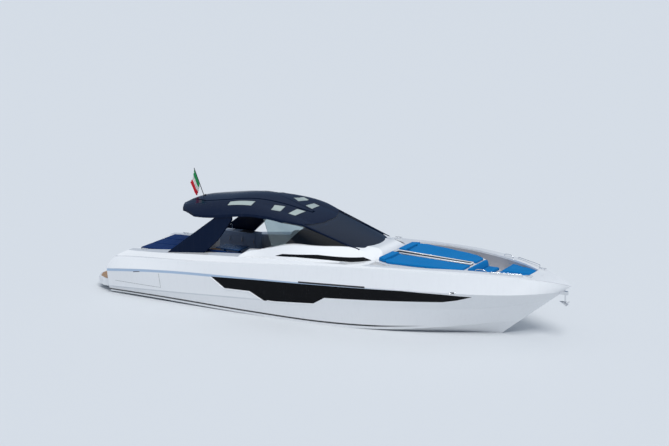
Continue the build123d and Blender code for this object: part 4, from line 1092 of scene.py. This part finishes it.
def on_dash(name, across, up_slope, size, proud, look, dish=None):
    """Block laid on the sloping dash, by its place across the boat and up the slope."""
    long, wide = size
    low = dash_middle + Vector((up_slope - long / 2, across - wide / 2, -DASH_SUNK))
    high = dash_middle + Vector((up_slope + long / 2, across + wide / 2, proud))
    moulded_block(name, low, high, 0.004, look, dish=dish, turn=dash_turn, about=dash_middle)


for name, across, wide in SCREENS:
    on_dash(name, across, 0.03, (0.25, wide), 0.022, (screen_glass, "dark_glass"), dish=SCREEN_DISH)
on_dash("switch_panel", -0.62, SWITCH_ROW, (0.07, 0.50), 0.014, TRIM)
for index in range(SWITCH_COUNT):
    across = FIRST_SWITCH_Y + SWITCH_PITCH * index
    on_dash(f"switch_{index + 1}", across, SWITCH_ROW, (0.036, 0.036), 0.026, STEEL)
on_dash("lever_box", 0.08, 0.02, (0.20, 0.13), 0.045, TRIM)
for index, across in enumerate(LEVERS_Y, 1):
    on_dash(f"engine_lever_{index}", across, 0.00, (0.018, 0.018), 0.15, STEEL)
    on_dash(f"lever_knob_{index}", across, 0.00, (0.034, 0.040), 0.185, TRIM)
print("helm fitted")

# %% Bar fronts, sink and grill
BAR_FACE_Y, BAR_TOP_Z = 1.05, 2.33
BAR_DOORS_X = ((-5.86, -5.30), (-5.27, -4.71), (-4.68, -4.14))
BAR_DOOR_Z, BAR_HANDLE_Z = (1.50, 2.24), (1.96, 2.14)
TAP_X, TAP_ROUTE = -5.51, ((1.43, 0.02), (1.43, 0.20), (1.38, 0.26), (1.30, 0.22))

for index, (low_x, high_x) in enumerate(BAR_DOORS_X, 1):
    moulded_block(f"bar_door_{index}", (low_x, BAR_FACE_Y - 0.012, BAR_DOOR_Z[0]),
                  (high_x, BAR_FACE_Y + 0.004, BAR_DOOR_Z[1]), 0.004, BAR, dish=((0, -1, 0), 0.05, 0.005))
    moulded_block(f"bar_handle_{index}", (high_x - 0.09, BAR_FACE_Y - 0.040, BAR_HANDLE_Z[0]),
                  (high_x - 0.07, BAR_FACE_Y - 0.006, BAR_HANDLE_Z[1]), 0.006, STEEL)
moulded_block("bar_worktop", (-5.92, 1.035, BAR_TOP_Z - 0.004), (-4.08, 1.475, BAR_TOP_Z + 0.022), 0.008, BAR)
moulded_block("bar_sink", (-5.72, 1.13, BAR_TOP_Z + 0.018), (-5.30, 1.40, BAR_TOP_Z + 0.030), 0.004, STEEL,
              dish=((0, 0, 1), 0.03, 0.009))
moulded_block("bar_grill", (-4.95, 1.10, BAR_TOP_Z + 0.018), (-4.35, 1.42, BAR_TOP_Z + 0.034), 0.005, TRIM,
              dish=((0, 0, 1), 0.04, 0.006))
tap = [Vector((TAP_X, y, BAR_TOP_Z + over_top)) for y, over_top in TAP_ROUTE]
cord_fitting("bar_tap", tap, 0.011, STEEL)
print("bar fitted with", len(BAR_DOORS_X), "doors")

# %% [markdown]
# ## Studio floor and light
#
# The boat floats, so the floor is its waterline and the underwater body is out of sight. A broad soft
# sun and a pale sky light it at a plain level, at which a colour comes out about as it is written.

# %% Floor, sun and sky
FLOOR_RADIUS = 450.0
SUN_STRENGTH, SUN_SPREAD, SUN_FROM = 2.2, math.radians(24), Vector((0.55, -0.62, 1.0))
SKY_STOPS = ((0.30, (0.15, 0.21, 0.31, 1)), (0.85, (0.66, 0.71, 0.77, 1)))

pale, tree, shader = material("pale_floor", Base_Color=(0.66, 0.68, 0.70, 1), Roughness=0.9,
                              Specular_IOR_Level=0.1)
floor_mesh = bmesh.new()
bmesh.ops.create_circle(floor_mesh, cap_ends=True, segments=96, radius=FLOOR_RADIUS)
floor = new_piece("studio_floor", floor_mesh, pale)

sun_data = bpy.data.lights.new("soft_sun", "SUN")
sun_data.energy, sun_data.angle = SUN_STRENGTH, SUN_SPREAD
sun = bpy.data.objects.new("soft_sun", sun_data)
sun.rotation_euler = SUN_FROM.to_track_quat("Z", "Y").to_euler()
bpy.context.scene.collection.objects.link(sun)

world = bpy.data.worlds.new("studio_sky")
bpy.context.scene.world = world
world.use_nodes = True
tree = world.node_tree
sky_at = add(tree, "ShaderNodeTexCoord")
sky_axes = add(tree, "ShaderNodeSeparateXYZ")
gradient = add(tree, "ShaderNodeValToRGB")
for stop, (position, colour) in zip(gradient.color_ramp.elements, SKY_STOPS):
    stop.position, stop.color = position, colour
link(tree, (sky_at.outputs["Generated"], sky_axes.inputs[0]), (sky_axes.outputs["Z"], gradient.inputs[0]),
     (gradient.outputs[0], tree.nodes["Background"].inputs["Color"]))
bpy.context.scene.view_settings.view_transform = "Standard"
print("sun strength", SUN_STRENGTH, "and", len(SKY_STOPS), "sky colours")
